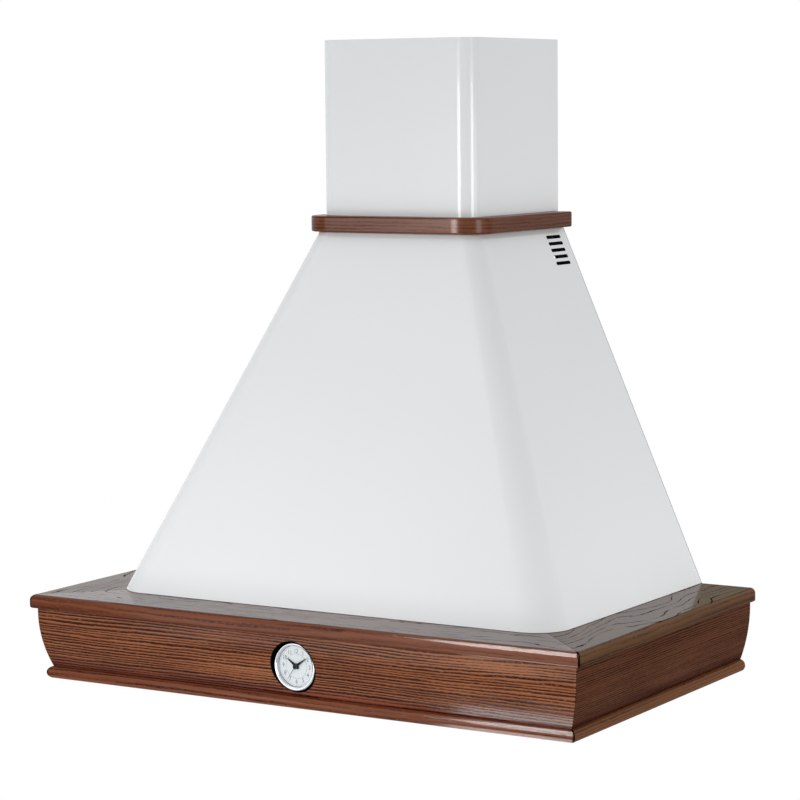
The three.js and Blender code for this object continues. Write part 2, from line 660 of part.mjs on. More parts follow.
// The filter's outer frame: four rails with a thin lip under the mesh, and a pin at each rear corner.
function filterFrame(side) {
  const x = side * FILTER.centreX;
  const y = FILTER.centreY;
  const halfWidth = FILTER.width / 2;
  const halfDepth = FILTER.depth / 2;
  const { bottomZ, thickness } = FILTER;
  const ring = (width) => {
    const outline = rectangle(x - halfWidth, x + halfWidth, y - halfDepth, y + halfDepth);
    const [inX, inY] = [halfWidth - width, halfDepth - width];
    outline.holes.push(rectangle(x - inX, x + inX, y - inY, y + inY));
    return outline;
  };
  const pinOutline = circle(filterPivotY(), FILTER_PIVOT.z, FILTER_PIVOT.pinRadius);
  const pinReach = halfWidth + FILTER_SIDE_GAP + SHEET;
  const pins = drawAcross(pinOutline, x - pinReach, x + pinReach, 4);
  const clear = halfWidth - 3;
  const between = block(x - clear, x + clear, filterPivotY() - 5, filterPivotY() + 5, 13, 19);
  return join(
    raise(ring(FILTER_RAIL), bottomZ, bottomZ + thickness),
    raise(ring(FILTER_RAIL + FILTER_LIP), bottomZ, bottomZ + 1),
    cut(pins, between),
  );
}

// The grease mesh is a pack of expanded metal folded into even waves.
function filterMesh(side) {
  const halfWidth = FILTER.width / 2 - FILTER_RAIL - GAP;
  const halfDepth = FILTER.depth / 2 - FILTER_RAIL - GAP;
  const low = FILTER.bottomZ + 1 + GAP;
  const high = FILTER.bottomZ + FILTER.thickness - 1;
  const upper = [];
  const lower = [];
  for (let k = 0; k <= 2 * MESH_WAVES; k += 1) {
    const y = FILTER.centreY - halfDepth + (k / MESH_WAVES) * halfDepth;
    const z = k % 2 === 0 ? low : high - MESH_WIRE;
    lower.push(new THREE.Vector2(y, z));
    upper.push(new THREE.Vector2(y, z + MESH_WIRE));
  }
  const wave = new THREE.Shape([...lower, ...upper.reverse()]);
  const x = side * FILTER.centreX;
  return drawAcross(wave, x - halfWidth, x + halfWidth);
}

// The latch slides back under the front rail. Its ribs give the finger a grip.
function filterLatch(side) {
  const { halfLength, gripHalfLength, ribs } = LATCH;
  const x = side * FILTER.centreX;
  const frontY = FILTER.centreY - FILTER.depth / 2;
  const top = FILTER.bottomZ - GAP;
  const barOutline = roundedRectangle(x - halfLength, x + halfLength, frontY + 1.5, frontY + 14, 3);
  const gripOutline = roundedRectangle(x - gripHalfLength, x + gripHalfLength, frontY + 3, frontY + 12.5, 3);
  const ribBlocks = ribs.map((dx) => {
    return block(x + dx - 1, x + dx + 1, frontY + 3.5, frontY + 12, top - 4.4, top - 3);
  });
  return join(raise(barOutline, top - 2.2, top, 1), raise(gripOutline, top - 3.4, top - 1, 1), ...ribBlocks);
}

// ---------------------------------------------------------------- lamps and switch

function lampTrim(side) {
  const lens = LAMP.lensRadius;
  const profile = [
    [LAMP.holeRadius - 1, PAN_Z + 6],
    [lens + GAP, PAN_Z + 6],
    [lens + GAP, PAN_Z - 1.7],
    [lens - 1.6, PAN_Z - 1.7],
    [lens - 1.6, PAN_Z - 3],
    [LAMP.trimRadius - 2, PAN_Z - 3],
    [LAMP.trimRadius, PAN_Z - 1.5],
    [LAMP.trimRadius, PAN_Z - GAP],
    [LAMP.holeRadius - 1, PAN_Z - GAP],
  ];
  return turnRing(profile, LAMP_SEGMENTS).translate(side * LAMP.x, LAMP.y, 0);
}

// The frosted lens bulges down a little in the middle.
function lampLens(side) {
  const edge = LAMP.lensRadius;
  const profile = [
    [0, PAN_Z + 0.6],
    [edge, PAN_Z + 0.6],
    [edge, PAN_Z - 1.4],
    [edge - 2.5, PAN_Z - 1.4],
    [edge * 0.7, PAN_Z - 2.3],
    [edge * 0.35, PAN_Z - 2.8],
    [0, PAN_Z - 3],
  ];
  return turn(profile, LAMP_SEGMENTS).translate(side * LAMP.x, LAMP.y, 0);
}

// The lamp housing is a cup on top of the pan, stepped in for the bulb holder.
function lampHousing(side) {
  const inner = LAMP.holeRadius;
  const wall = 1.4;
  const foot = PAN_Z + SHEET + GAP;
  const profile = [
    [inner, foot],
    [inner + 5, foot],
    [inner + 5, foot + wall],
    [inner + wall, foot + wall],
    [inner + wall, foot + 24],
    [15, foot + 30],
    [15, foot + 42],
    [0, foot + 42],
    [0, foot + 40],
    [13.5, foot + 40],
    [13.5, foot + 28.5],
    [inner, foot + 22.5],
  ];
  return turnRing(profile, LAMP_SEGMENTS).translate(side * LAMP.x, LAMP.y, 0);
}

function buttonX(number) {
  return (number - (BUTTON_NAMES.length - 1) / 2) * BUTTON.pitch;
}

// A rounded rectangle round a centre on the switch's middle line.
function switchOutline(x, halfX, halfY, radius) {
  return roundedRectangle(x - halfX, x + halfX, SWITCH.y - halfY, SWITCH.y + halfY, radius);
}

function switchHousing() {
  const halfLength = SWITCH.length / 2;
  const halfDepth = SWITCH.depth / 2;
  const body = raise(switchOutline(0, halfLength, halfDepth, 1), SWITCH.plateZ + 1, SWITCH.topZ, 1);
  const plateOutline = switchOutline(0, halfLength + SWITCH.plateEdgeX, halfDepth + SWITCH.plateEdgeY, 5);
  const plate = raise(plateOutline, SWITCH.plateZ, PAN_Z - GAP, 2);
  const clearance = 0.4;
  const halfX = BUTTON.length / 2 + clearance;
  const halfY = BUTTON.depth / 2 + clearance;
  const pockets = BUTTON_NAMES.map((_, number) => {
    return raise(switchOutline(buttonX(number), halfX, halfY, 2), SWITCH.plateZ - 1, BUTTON.pocketTopZ, 1);
  });
  return cut(join(body, plate), ...pockets);
}

// A push button, dished where the finger presses.
function pushButton(number) {
  const x = buttonX(number);
  const low = SWITCH.plateZ - BUTTON.travel;
  const high = BUTTON.pocketTopZ - BUTTON.travel - 0.5;
  const body = raise(switchOutline(x, BUTTON.length / 2, BUTTON.depth / 2, 1.6), low, high, 1);
  const dishRadius = 30;
  const dish = new THREE.CylinderGeometry(dishRadius, dishRadius, BUTTON.depth + 2, 64);
  return cut(body, dish.translate(x, SWITCH.y, low - dishRadius + 0.7));
}

function buildUnderside() {
  add('underside_pan', undersidePan(), 'enamel');
  for (const [word, side] of [['left', -1], ['right', 1]]) {
    add(`${word}_filter_frame`, filterFrame(side), 'aluminium');
    add(`${word}_filter_mesh`, filterMesh(side), 'aluminium');
    add(`${word}_filter_latch`, filterLatch(side), 'blackPlastic');
    add(`${word}_lamp_trim`, lampTrim(side), 'chrome');
    add(`${word}_lamp_lens`, lampLens(side), 'frostedGlass');
    add(`${word}_lamp_housing`, lampHousing(side), 'zincSteel');
  }
  add('switch_housing', switchHousing(), 'blackPlastic');
  BUTTON_NAMES.forEach((name, number) => add(`button_${name}`, pushButton(number), 'whitePlastic'));
}

// ---------------------------------------------------------------- blower

// Turns +Z to +X and sets the axle in the blower's centre.
function onAxle(geometry) {
  return geometry.rotateY(Math.PI / 2).translate(0, BLOWER.y, BLOWER.z);
}

// The scroll's outline in Y and Z. Its radius shrinks evenly from the rear wall round to the cut-off.
function scrollOutline(inset, mouthZ) {
  const shape = new THREE.Shape();
  shape.moveTo(OUTLET_MOUTH.backY - inset, mouthZ);
  for (let k = 0; k <= SCROLL.steps; k += 1) {
    const share = k / SCROLL.steps;
    const angle = THREE.MathUtils.degToRad(share * SCROLL.cutoffAngle);
    const radius = THREE.MathUtils.lerp(SCROLL.rearRadius, SCROLL.cutoffRadius, share) - inset;
    shape.lineTo(BLOWER.y + radius * Math.cos(angle), BLOWER.z - radius * Math.sin(angle));
  }
  shape.lineTo(OUTLET_MOUTH.frontY + inset, mouthZ);
  return shape;
}

// A bellmouth curls air into the wheel through each side of the scroll.
function bellmouth(side) {
  const lip = 6;
  const profile = [
    [INLET_RADIUS + lip + 6, 0],
    [INLET_RADIUS + lip + 6, SHEET],
    [INLET_RADIUS + lip, SHEET],
    [INLET_RADIUS + 2, SHEET + 1.8],
    [INLET_RADIUS + SHEET, SHEET + lip],
    [INLET_RADIUS, SHEET + lip],
    [INLET_RADIUS + 0.6, SHEET + 1],
    [INLET_RADIUS + lip - 1, 0],
  ];
  const ring = turnRing(profile, 18).rotateY(-side * Math.PI / 2);
  return ring.translate(side * BLOWER.halfWidth, BLOWER.y, BLOWER.z);
}

function blowerHousing() {
  const outside = drawAcross(scrollOutline(0, OUTLET_MOUTH.z), -BLOWER.halfWidth, BLOWER.halfWidth);
  const insideX = BLOWER.halfWidth - SHEET;
  const inside = drawAcross(scrollOutline(SHEET, OUTLET_MOUTH.z + 5), -insideX, insideX);
  const inlet = onAxle(disc(INLET_RADIUS + 7, -BLOWER.halfWidth - 5, BLOWER.halfWidth + 5, 18));
  return join(cut(outside, inside, inlet), bellmouth(-1), bellmouth(1));
}

// One forward-curved blade, seen along the axle: an arc that leans into the turn.
function bladeShape(start) {
  const { innerRadius, outerRadius, bladeThickness } = WHEEL;
  const steps = 2;
  const lean = 0.13;
  const front = [];
  const back = [];
  for (let k = 0; k <= steps; k += 1) {
    const share = k / steps;
    const radius = THREE.MathUtils.lerp(innerRadius, outerRadius - 1, share);
    const angle = start + lean * share * share;
    const half = bladeThickness / 2 / radius;
    front.push(new THREE.Vector2(radius * Math.cos(angle + half), radius * Math.sin(angle + half)));
    back.push(new THREE.Vector2(radius * Math.cos(angle - half), radius * Math.sin(angle - half)));
  }
  return new THREE.Shape([...back, ...front.reverse()]);
}

// The wheel draws air in from both sides: its blades run the whole width through three rings.
function impeller() {
  const { outerRadius, halfWidth, blades } = WHEEL;
  const { innerRadius, thickness } = WHEEL_RING;
  const ring = (z) => turnRing([
    [innerRadius, z],
    [outerRadius, z],
    [outerRadius, z + thickness],
    [innerRadius, z + thickness],
  ], blades);
  const bladeSolids = [];
  for (let k = 0; k < blades; k += 1) {
    bladeSolids.push(raise(bladeShape((k / blades) * 2 * Math.PI), -halfWidth + 1, halfWidth - 1));
  }
  const rings = [-halfWidth, -thickness / 2, halfWidth - thickness].map(ring);
  return onAxle(join(...rings, ...bladeSolids));
}

// The hub is a pressed disc that carries the blades by their inner edges, halfway along the wheel.
// Its boss sits on the motor shaft.
function impellerHub() {
  const { bossRadius, bossLength, discThickness } = HUB;
  const bore = MOTOR.shaftRadius + GAP;
  const rim = WHEEL.innerRadius - GAP;
  const half = discThickness / 2;
  return onAxle(turnRing([
    [bore, -half - bossLength],
    [bossRadius, -half - bossLength],
    [bossRadius + 2, -half - 1],
    [rim, -half],
    [rim, half],
    [bore, half],
  ], WHEEL.blades));
}

function motorBody() {
  const boreRadius = MOTOR.shaftRadius + GAP;
  return onAxle(turn([
    [0, MOTOR.startX + 30],
    [boreRadius, MOTOR.startX + 30],
    [boreRadius, MOTOR.startX],
    [12, MOTOR.startX],
    [12, MOTOR.startX + 6],
    [MOTOR.radius - 8, MOTOR.startX + 8],
    [MOTOR.radius, MOTOR.startX + 16],
    [MOTOR.radius, MOTOR.endX - 6],
    [MOTOR.radius - 6, MOTOR.endX],
    [14, MOTOR.endX + 4],
    [0, MOTOR.endX + 4],
  ], 16));
}

function motorShaft() {
  return onAxle(disc(MOTOR.shaftRadius, -18, MOTOR.startX + 29.5, 16));
}

// A three-armed spider that clamps the motor and is screwed to the side of the scroll.
function motorBracket() {
  const ringOuter = MOTOR.radius + 8;
  const x = BLOWER.halfWidth + GAP;
  const ring = circle(0, 0, ringOuter);
  ring.holes.push(circle(0, 0, MOTOR.radius + GAP));
  const arms = [90, 210, 330].map((degrees) => {
    const arm = roundedRectangle(ringOuter - 5, 100, -9, 9, 4);
    arm.holes.push(circle(92, 0, 3));
    return raise(arm, x, x + 2.5, 1).rotateZ(THREE.MathUtils.degToRad(degrees));
  });
  return onAxle(join(raise(ring, x, x + 2.5), ...arms));
}

// A U-shaped strap that carries the scroll's neck on the back panel.
function blowerBracket() {
  const { bottomZ, topZ, frontY } = BLOWER_STRAP;
  const inX = BLOWER.halfWidth + GAP;
  const outX = inX + SHEET;
  const backY = WALL_Y - SHEET - GAP;
  const outline = new THREE.Shape([
    new THREE.Vector2(-outX, frontY),
    new THREE.Vector2(-inX, frontY),
    new THREE.Vector2(-inX, backY - SHEET),
    new THREE.Vector2(inX, backY - SHEET),
    new THREE.Vector2(inX, frontY),
    new THREE.Vector2(outX, frontY),
    new THREE.Vector2(outX, backY),
    new THREE.Vector2(-outX, backY),
  ]);
  return raise(outline, bottomZ, topZ);
}

// The spigot: a flange on the scroll's mouth, a short tube for the duct, a bar between the flaps
// and a narrow rim that the flaps come down on.
function outletSpigot() {
  const bottom = OUTLET_MOUTH.z + GAP;
  const flange = rectangle(-BLOWER.halfWidth, BLOWER.halfWidth, OUTLET_MOUTH.frontY - 1, OUTLET_MOUTH.backY);
  flange.holes.push(circle(0, SPIGOT.y, SPIGOT.innerRadius));
  const tube = circle(0, SPIGOT.y, SPIGOT.outerRadius);
  tube.holes.push(circle(0, SPIGOT.y, SPIGOT.innerRadius));
  const reach = SPIGOT.innerRadius + 0.8;
  const bar = block(-2, 2, SPIGOT.y - reach, SPIGOT.y + reach, FLAP.z - 4, FLAP.z + 4);
  const rimTop = FLAP.z - FLAP.thickness / 2 - GAP;
  const rim = circle(0, SPIGOT.y, SPIGOT.innerRadius + 0.8);
  rim.holes.push(circle(0, SPIGOT.y, FLAP.radius - 1.5));
  const whole = join(
    raise(flange, bottom, bottom + 2),
    raise(tube, bottom, SPIGOT.topZ),
    raise(rim, rimTop - 1.6, rimTop),
    bar,
  );
  const pinHoles = [-1, 1].map((side) => flapAxle(side, FLAP.pinRadius + GAP, SPIGOT.outerRadius + 5));
  return cut(whole, ...pinHoles);
}

// A round bar along one flap's hinge line, reaching equally to both sides of the spigot's centre.
function flapAxle(side, radius, reach) {
  return disc(radius, -reach, reach, 8).rotateX(Math.PI / 2).translate(side * FLAP.hingeX, SPIGOT.y, FLAP.z);
}

// One flap is half a disc, hinged beside the middle bar. Its straight edge is rolled round a pin
// that turns in the wall of the spigot.
function damperFlap(side) {
  const edgeX = FLAP.hingeX - 0.4;
  const start = Math.asin(edgeX / FLAP.radius);
  const shape = new THREE.Shape();
  const steps = 14;
  for (let k = 0; k <= steps; k += 1) {
    const angle = -Math.PI / 2 + start + (k / steps) * (Math.PI - 2 * start);
    const x = side * FLAP.radius * Math.cos(angle);
    const y = SPIGOT.y + FLAP.radius * Math.sin(angle);
    if (k === 0) shape.moveTo(x, y);
    else shape.lineTo(x, y);
  }
  const half = FLAP.thickness / 2;
  const plate = raise(shape, FLAP.z - half, FLAP.z + half);
  const roll = flapAxle(side, FLAP.rollRadius, FLAP.radius - 2.5);
  const pin = flapAxle(side, FLAP.pinRadius, SPIGOT.innerRadius + 1.2);
  return join(plate, roll, pin);
}

// The middle of the terminal box, which hangs outside the blower's strap.
function terminalBoxX() {
  return -BLOWER.halfWidth - SHEET - 2 * GAP - TERMINAL_BOX.width / 2;
}

// The terminal box hangs on the blower's strap, beside the neck of the scroll.
function terminalBox() {
  const { centreY, bottomZ, topZ, depth, width } = TERMINAL_BOX;
  const x = terminalBoxX();
  const outline = roundedRectangle(x - width / 2, x + width / 2, centreY - depth / 2, centreY + depth / 2, 4);
  const entry = disc(GLAND.shankRadius + 0.5, topZ - 20, topZ + 5, 16).translate(x, centreY, 0);
  return cut(raise(outline, bottomZ, topZ, 1), entry);
}

// The gland through which a mains lead would enter the terminal box.
function cableGland() {
  const { centreY, topZ } = TERMINAL_BOX;
  const { boreRadius, shankRadius, nutRadius } = GLAND;
  const z = topZ + GAP;
  const profile = [
    [boreRadius, z - 10],
    [shankRadius, z - 10],
    [shankRadius, z],
    [nutRadius, z],
    [nutRadius, z + 6],
    [shankRadius + 0.5, z + 13],
    [boreRadius, z + 13],
  ];
  return turnRing(profile, 16).translate(terminalBoxX(), centreY, 0);
}

// The motor's run capacitor is clamped upright on the side of the scroll, behind the inlet.
function capacitor() {
  const { radius, y, bottomZ, topZ, studRadius, studHeight } = CAPACITOR;
  const x = -BLOWER.halfWidth - GAP - radius;
  return turn([
    [0, bottomZ],
    [radius - 1, bottomZ],
    [radius, bottomZ + 2],
    [radius, topZ - 2],
    [radius - 2, topZ],
    [studRadius, topZ],
    [studRadius, topZ + studHeight],
    [0, topZ + studHeight],
  ], 14).translate(x, y, 0);
}

function buildBlower() {
  add('blower_housing', blowerHousing(), 'zincSteel');
  add('impeller', impeller(), 'blackPlastic');
  add('impeller_hub', impellerHub(), 'zincSteel');
  add('motor_body', motorBody(), 'zincSteel');
  add('motor_shaft', motorShaft(), 'zincSteel');
  add('motor_bracket', motorBracket(), 'zincSteel');
  add('blower_bracket', blowerBracket(), 'zincSteel');
  add('outlet_spigot', outletSpigot(), 'blackPlastic');
  add('left_damper_flap', damperFlap(-1), 'blackPlastic');
  add('right_damper_flap', damperFlap(1), 'blackPlastic');
  add('terminal_box', terminalBox(), 'blackPlastic');
  add('cable_gland', cableGland(), 'blackPlastic');
  add('capacitor', capacitor(), 'whitePlastic');
}

// ---------------------------------------------------------------- clock

// The seat ring lines the bore and ends flush with the curved face of the fascia.
function clockSeatRing() {
  const outer = CLOCK_BORE.radius - GAP;
  const ring = faceFront(turnRing([
    [outer, 0],
    [outer, CLOCK_BORE.floorInset - GAP],
    [outer - 1.6, CLOCK_BORE.floorInset - GAP],
    [outer - 1.6, 0],
  ], CLOCK_SEGMENTS));
  return common(ring, frontRun(fasciaProfile()));
}

// The case: a cup behind the bezel, open to the front, with a hole for the setting knob.
function clockCase() {
  const { radius, backInset } = CLOCK_CASE;
  const front = CLOCK_BEZEL.backInset + GAP;
  const wall = 1.6;
  return faceFront(turnRing([
    [radius, front],
    [radius, backInset - 2],
    [radius - 2, backInset],
    [5, backInset],
    [5, backInset - wall],
    [radius - wall - 1.4, backInset - wall],
    [radius - wall, backInset - wall - 1.4],
    [radius - wall, front],
  ], CLOCK_SEGMENTS - 8));
}

function clockBezel() {
  const { radius, window, frontInset, backInset } = CLOCK_BEZEL;
  return faceFront(turnRing([
    [radius, backInset],
    [radius, frontInset + 3],
    [radius - 0.8, frontInset + 1],
    [radius - 2.2, frontInset],
    [radius - 3, frontInset + 0.3],
    [window, frontInset + 1.5],
    [window, backInset - 1.6],
    [window - 1, backInset],
  ], CLOCK_SEGMENTS));
}

// The lens is a thin glass dome that sits inside the bezel's window.
function clockLens() {
  const edge = CLOCK_BEZEL.window - GAP;
  const seat = CLOCK_BEZEL.frontInset + 1.6;
  return faceFront(turn([
    [0, seat - 1.2],
    [edge * 0.5, seat - 0.9],
    [edge, seat],
    [edge, seat + 1],
    [edge * 0.5, seat + 0.1],
    [0, seat - 0.2],
  ], CLOCK_SEGMENTS));
}

function clockDial() {
  const edge = CLOCK_BEZEL.window - GAP;
  const arborHole = 2.2;
  return faceFront(turnRing([
    [arborHole, CLOCK_DIAL_INSET],
    [edge, CLOCK_DIAL_INSET],
    [edge, CLOCK_DIAL_BACK],
    [arborHole, CLOCK_DIAL_BACK],
  ], CLOCK_SEGMENTS));
}

// The quartz movement: a square box with a central arbor hole and a battery bulge at its back.
function clockMovement() {
  const front = CLOCK_DIAL_BACK + GAP;
  const half = 19;
  const back = front + MOVEMENT_DEPTH;
  const body = raise(roundedRectangle(-half, half, -half, half, 3), front, back, 1);
  const arborHole = disc(2.2, front - 1, front + 4, 12);
  const battery = raise(roundedRectangle(-half, -8, -17, 17, 5), back - 1, back + 3, 1);
  return faceFront(cut(join(body, battery), arborHole));
}

// The knob at the back of the case that sets the hands.
function clockKnob() {
  const start = CLOCK_DIAL_BACK + MOVEMENT_DEPTH + 2 * GAP;
  return faceFront(turn([
    [0, start], [2.6, start], [2.6, CLOCK_CASE.backInset + GAP], [6, CLOCK_CASE.backInset + GAP],
    [6, CLOCK_CASE.backInset + 3], [5, CLOCK_CASE.backInset + 4], [0, CLOCK_CASE.backInset + 4],
  ], 16));
}

// A hand points up at zero degrees and turns clockwise as seen from the front. Its blade tapers to
// a point. Behind its boss is the arbor, and the hole takes the arbor of the hand in front of it.
function clockHand(hand) {
  const { length, halfWidth, inset, degrees, bossRadius, bossFront, arborRadius, holeRadius } = hand;
  const tail = bossRadius + 1.5;
  const outline = new THREE.Shape([
    new THREE.Vector2(-halfWidth, tail),
    new THREE.Vector2(halfWidth, tail),
    new THREE.Vector2(halfWidth, -length * 0.3),
    new THREE.Vector2(halfWidth * 0.3, -length),
    new THREE.Vector2(-halfWidth * 0.3, -length),
    new THREE.Vector2(-halfWidth, -length * 0.3),
  ]);
  const blade = raise(outline, inset, inset + HAND_THICKNESS);
  const boss = disc(bossRadius, bossFront, inset + HAND_THICKNESS, 16);
  const arbor = disc(arborRadius, inset, ARBOR_END_INSET, 10);
  const whole = join(blade, boss, arbor);
  const bores = holeRadius > 0 ? [disc(holeRadius, bossFront - 1, ARBOR_END_INSET + 1, 10)] : [];
  return faceFront(cut(whole, ...bores).rotateZ(THREE.MathUtils.degToRad(degrees)));
}

function buildClock() {
  add('clock_seat_ring', clockSeatRing(), 'blackPlastic');
  add('clock_case', clockCase(), 'blackPlastic');
  add('clock_bezel', clockBezel(), 'chrome');
  add('clock_lens', clockLens(), 'clearGlass');
  add('clock_dial', clockDial(), 'dialWhite');
  add('clock_movement', clockMovement(), 'blackPlastic');
  add('clock_knob', clockKnob(), 'blackPlastic');
  for (const [name, hand] of Object.entries(HANDS)) add(`${name}_hand`, clockHand(hand), 'handBlack');
}

// ---------------------------------------------------------------- assembly

buildWoodenFrame();
add('canopy_shell', canopyShell(), 'enamel');
add('back_panel', backPanel(), 'enamel');
buildChimney();
buildUnderside();
buildBlower();
buildClock();

export default hood;
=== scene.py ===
# %% [markdown]
# # A wall-hung range hood with a moulded wooden frame
#
# The hood has three kinds of surface: white stove enamel on bent sheet steel, stained and
# lacquered oak mouldings, and a small quartz clock let into the front board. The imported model
# already has every piece at its real size and place, so this file only gives each piece its fine
# surface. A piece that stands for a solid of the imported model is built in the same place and
# rides on the same body, so it moves with the same joint.

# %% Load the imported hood
import json
import math

import bmesh
import bpy
import numpy as np
from mathutils import Matrix, Vector

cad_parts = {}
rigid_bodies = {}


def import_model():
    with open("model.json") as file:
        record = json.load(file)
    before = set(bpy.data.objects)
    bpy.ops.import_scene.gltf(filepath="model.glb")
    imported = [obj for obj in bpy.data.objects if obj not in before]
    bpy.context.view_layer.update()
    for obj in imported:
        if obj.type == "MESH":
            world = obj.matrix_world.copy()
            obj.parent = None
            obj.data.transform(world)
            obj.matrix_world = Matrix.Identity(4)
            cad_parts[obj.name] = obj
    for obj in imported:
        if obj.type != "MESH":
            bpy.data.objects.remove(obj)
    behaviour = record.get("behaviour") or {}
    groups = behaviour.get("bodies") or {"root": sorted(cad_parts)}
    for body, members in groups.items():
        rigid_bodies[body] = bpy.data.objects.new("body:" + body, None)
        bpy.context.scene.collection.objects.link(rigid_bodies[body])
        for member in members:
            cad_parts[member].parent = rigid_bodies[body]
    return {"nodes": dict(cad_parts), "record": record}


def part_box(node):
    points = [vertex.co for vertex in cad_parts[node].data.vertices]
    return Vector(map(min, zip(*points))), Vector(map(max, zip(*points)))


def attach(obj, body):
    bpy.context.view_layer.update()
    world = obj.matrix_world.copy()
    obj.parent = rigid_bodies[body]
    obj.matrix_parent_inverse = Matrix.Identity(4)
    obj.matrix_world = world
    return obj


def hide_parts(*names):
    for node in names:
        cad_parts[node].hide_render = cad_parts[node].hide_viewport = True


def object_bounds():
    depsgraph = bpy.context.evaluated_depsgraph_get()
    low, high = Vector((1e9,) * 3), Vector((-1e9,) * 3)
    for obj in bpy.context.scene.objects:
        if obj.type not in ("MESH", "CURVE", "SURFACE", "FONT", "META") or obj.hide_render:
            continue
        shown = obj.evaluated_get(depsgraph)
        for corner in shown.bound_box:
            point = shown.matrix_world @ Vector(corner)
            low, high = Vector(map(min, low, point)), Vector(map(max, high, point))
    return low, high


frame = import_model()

MM = 0.001
cad_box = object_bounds()

# %% [markdown]
# ## Driving sizes
#
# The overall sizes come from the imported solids. The smaller ones, such as the radius of a nose or
# the turn of a sheet, are written here in millimetres, measured as a joiner would: an inset is
# the distance back from the outermost edge of the frame. They could stand in the formulas where
# they are used, but a size with a name is found and changed in one place.

# %% Driving sizes
low, high = (np.array(corner) / MM for corner in cad_box)
half_width = high[0]
front_y = low[1]
wall_y = high[1]
gap = 0.3
mitre_gap = 0.2

bead_height = 18.0
bead_inset = 15.5
board_bottom, board_top = 105.0, 125.0
board_width = 110.0
nose_top_radius, nose_bottom_radius = 7.5, 3.5
fascia_top_inset, fascia_back_inset = 8.0, 36.0
fascia_radius, fascia_curve_start = 232.0, 100.0

canopy_low, canopy_high = (np.array(corner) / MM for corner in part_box("canopy_shell"))
canopy_wall_y = canopy_high[1]
canopy_bottom = dict(z=canopy_low[2], half=canopy_high[0], front=canopy_low[1], radius=52.0)
canopy_top = dict(z=canopy_high[2], half=136.0, front=8.0, radius=26.0)
sheet_thickness = 1.5

collar_low, collar_high = (np.array(corner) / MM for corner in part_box("chimney_collar"))
collar_radius, collar_edge = 46.0, 2.5
chimney_radius, chimney_lip, chimney_sheet = 24.0, 18.0, 1.2
clock_z = 60.0
print("frame", half_width * 2, "by", wall_y - front_y, "mm, canopy top at", canopy_top["z"])

# %% [markdown]
# ## Grids into meshes
#
# Every new surface here is a grid of points worked out as one array: rows run one way over the
# surface, columns the other. Each point carries a second pair of numbers, its distance along and
# across the piece in metres, which becomes the UV map that the wood grain follows. Several grids
# that share an edge are welded into one closed shell, and its faces are turned outwards. A box
# could be pulled into shape by hand instead, but a formula can be read, checked and changed.

# %% Grids into meshes
weld_distance = 2e-6


def grid_quads(rows, columns, first):
    """Corner numbers of every quad of a rows x columns grid.

    Point (i, j) of the grid has the number first + i * columns + j.
    """
    i, j = np.meshgrid(np.arange(rows - 1), np.arange(columns - 1), indexing="ij")
    corner = first + i * columns + j
    return np.stack([corner, corner + columns, corner + columns + 1, corner + 1], -1).reshape(-1, 4)


def arc_length(points):
    """Running distance along a line of points: 0, |p1 - p0|, |p1 - p0| + |p2 - p1|, ..."""
    steps = np.linalg.norm(np.diff(points, axis=0), axis=-1)
    return np.concatenate([[0.0], np.cumsum(steps)])


def grid_uv(points):
    """Distance along the middle column and along the middle row, in the points' own units."""
    along = arc_length(points[:, points.shape[1] // 2])
    across = arc_length(points[points.shape[0] // 2])
    return np.stack(np.meshgrid(along, across, indexing="ij"), -1)


def weld(mesh, recalculate):
    """Merges doubled points, drops collapsed faces and may turn a closed shell's faces outwards."""
    shell = bmesh.new()
    shell.from_mesh(mesh)
    bmesh.ops.remove_doubles(shell, verts=shell.verts, dist=weld_distance)
    bmesh.ops.dissolve_degenerate(shell, dist=weld_distance / 2, edges=shell.edges)
    if recalculate:
        bmesh.ops.recalc_face_normals(shell, faces=shell.faces)
    shell.to_mesh(mesh)
    shell.free()


def grids_mesh(name, grids, recalculate=True):
    """One mesh from several grids of points in millimetres."""
    uvs = [grid_uv(points) for points in grids]
    counts = [points.shape[0] * points.shape[1] for points in grids]
    starts = np.cumsum([0] + counts[:-1])
    quads = np.concatenate([
        grid_quads(points.shape[0], points.shape[1], start) for points, start in zip(grids, starts)
    ])
    vertices = np.concatenate([points.reshape(-1, 3) for points in grids]) * MM
    uv = np.concatenate([plane.reshape(-1, 2) for plane in uvs]) * MM
    mesh = bpy.data.meshes.new(name)
    mesh.from_pydata(vertices.tolist(), [], quads.tolist())
    layer = mesh.uv_layers.new(name="along_across")
    layer.data.foreach_set("uv", uv[quads.reshape(-1)].astype(np.float32).reshape(-1))
    weld(mesh, recalculate)
    return mesh


print("a grid of 3 by 3 points has", len(grid_quads(3, 3, 0)), "quads")

# %% [markdown]
# ## Placing a piece
#
# A piece has its modifiers worked into plain mesh, and then gets its shading, its finish and its
# body. Shading runs smoothly from face to face, except where two faces turn too far. Where a wide
# flat meets a narrow round, plain smoothing would make the flat look bent, so a last modifier lets
# the larger face decide. Modifiers could stay live, but here each piece ends as plain mesh.

# %% Placing a piece
def shade_by_angle(mesh, degrees):
    """Smooth shading, with an edge kept sharp where its two faces turn by more than the angle."""
    mesh.polygons.foreach_set("use_smooth", np.ones(len(mesh.polygons), bool))
    mesh.set_sharp_from_angle(angle=math.radians(degrees))


def settled_mesh(thing):
    """An object's mesh as its modifiers leave it."""
    bpy.context.view_layer.update()
    graph = bpy.context.evaluated_depsgraph_get()
    return bpy.data.meshes.new_from_object(thing.evaluated_get(graph))


def settle(thing):
    """Turns an object's modifiers into plain mesh."""
    mesh = settled_mesh(thing)
    thing.modifiers.clear()
    thing.data = mesh


def added(name, data):
    """A new object in the scene."""
    thing = bpy.data.objects.new(name, data)
    bpy.context.scene.collection.objects.link(thing)
    return thing


finishes = {}
bodies_of_nodes = {
    node: body for body, nodes in frame["record"]["behaviour"]["bodies"].items() for node in nodes
}


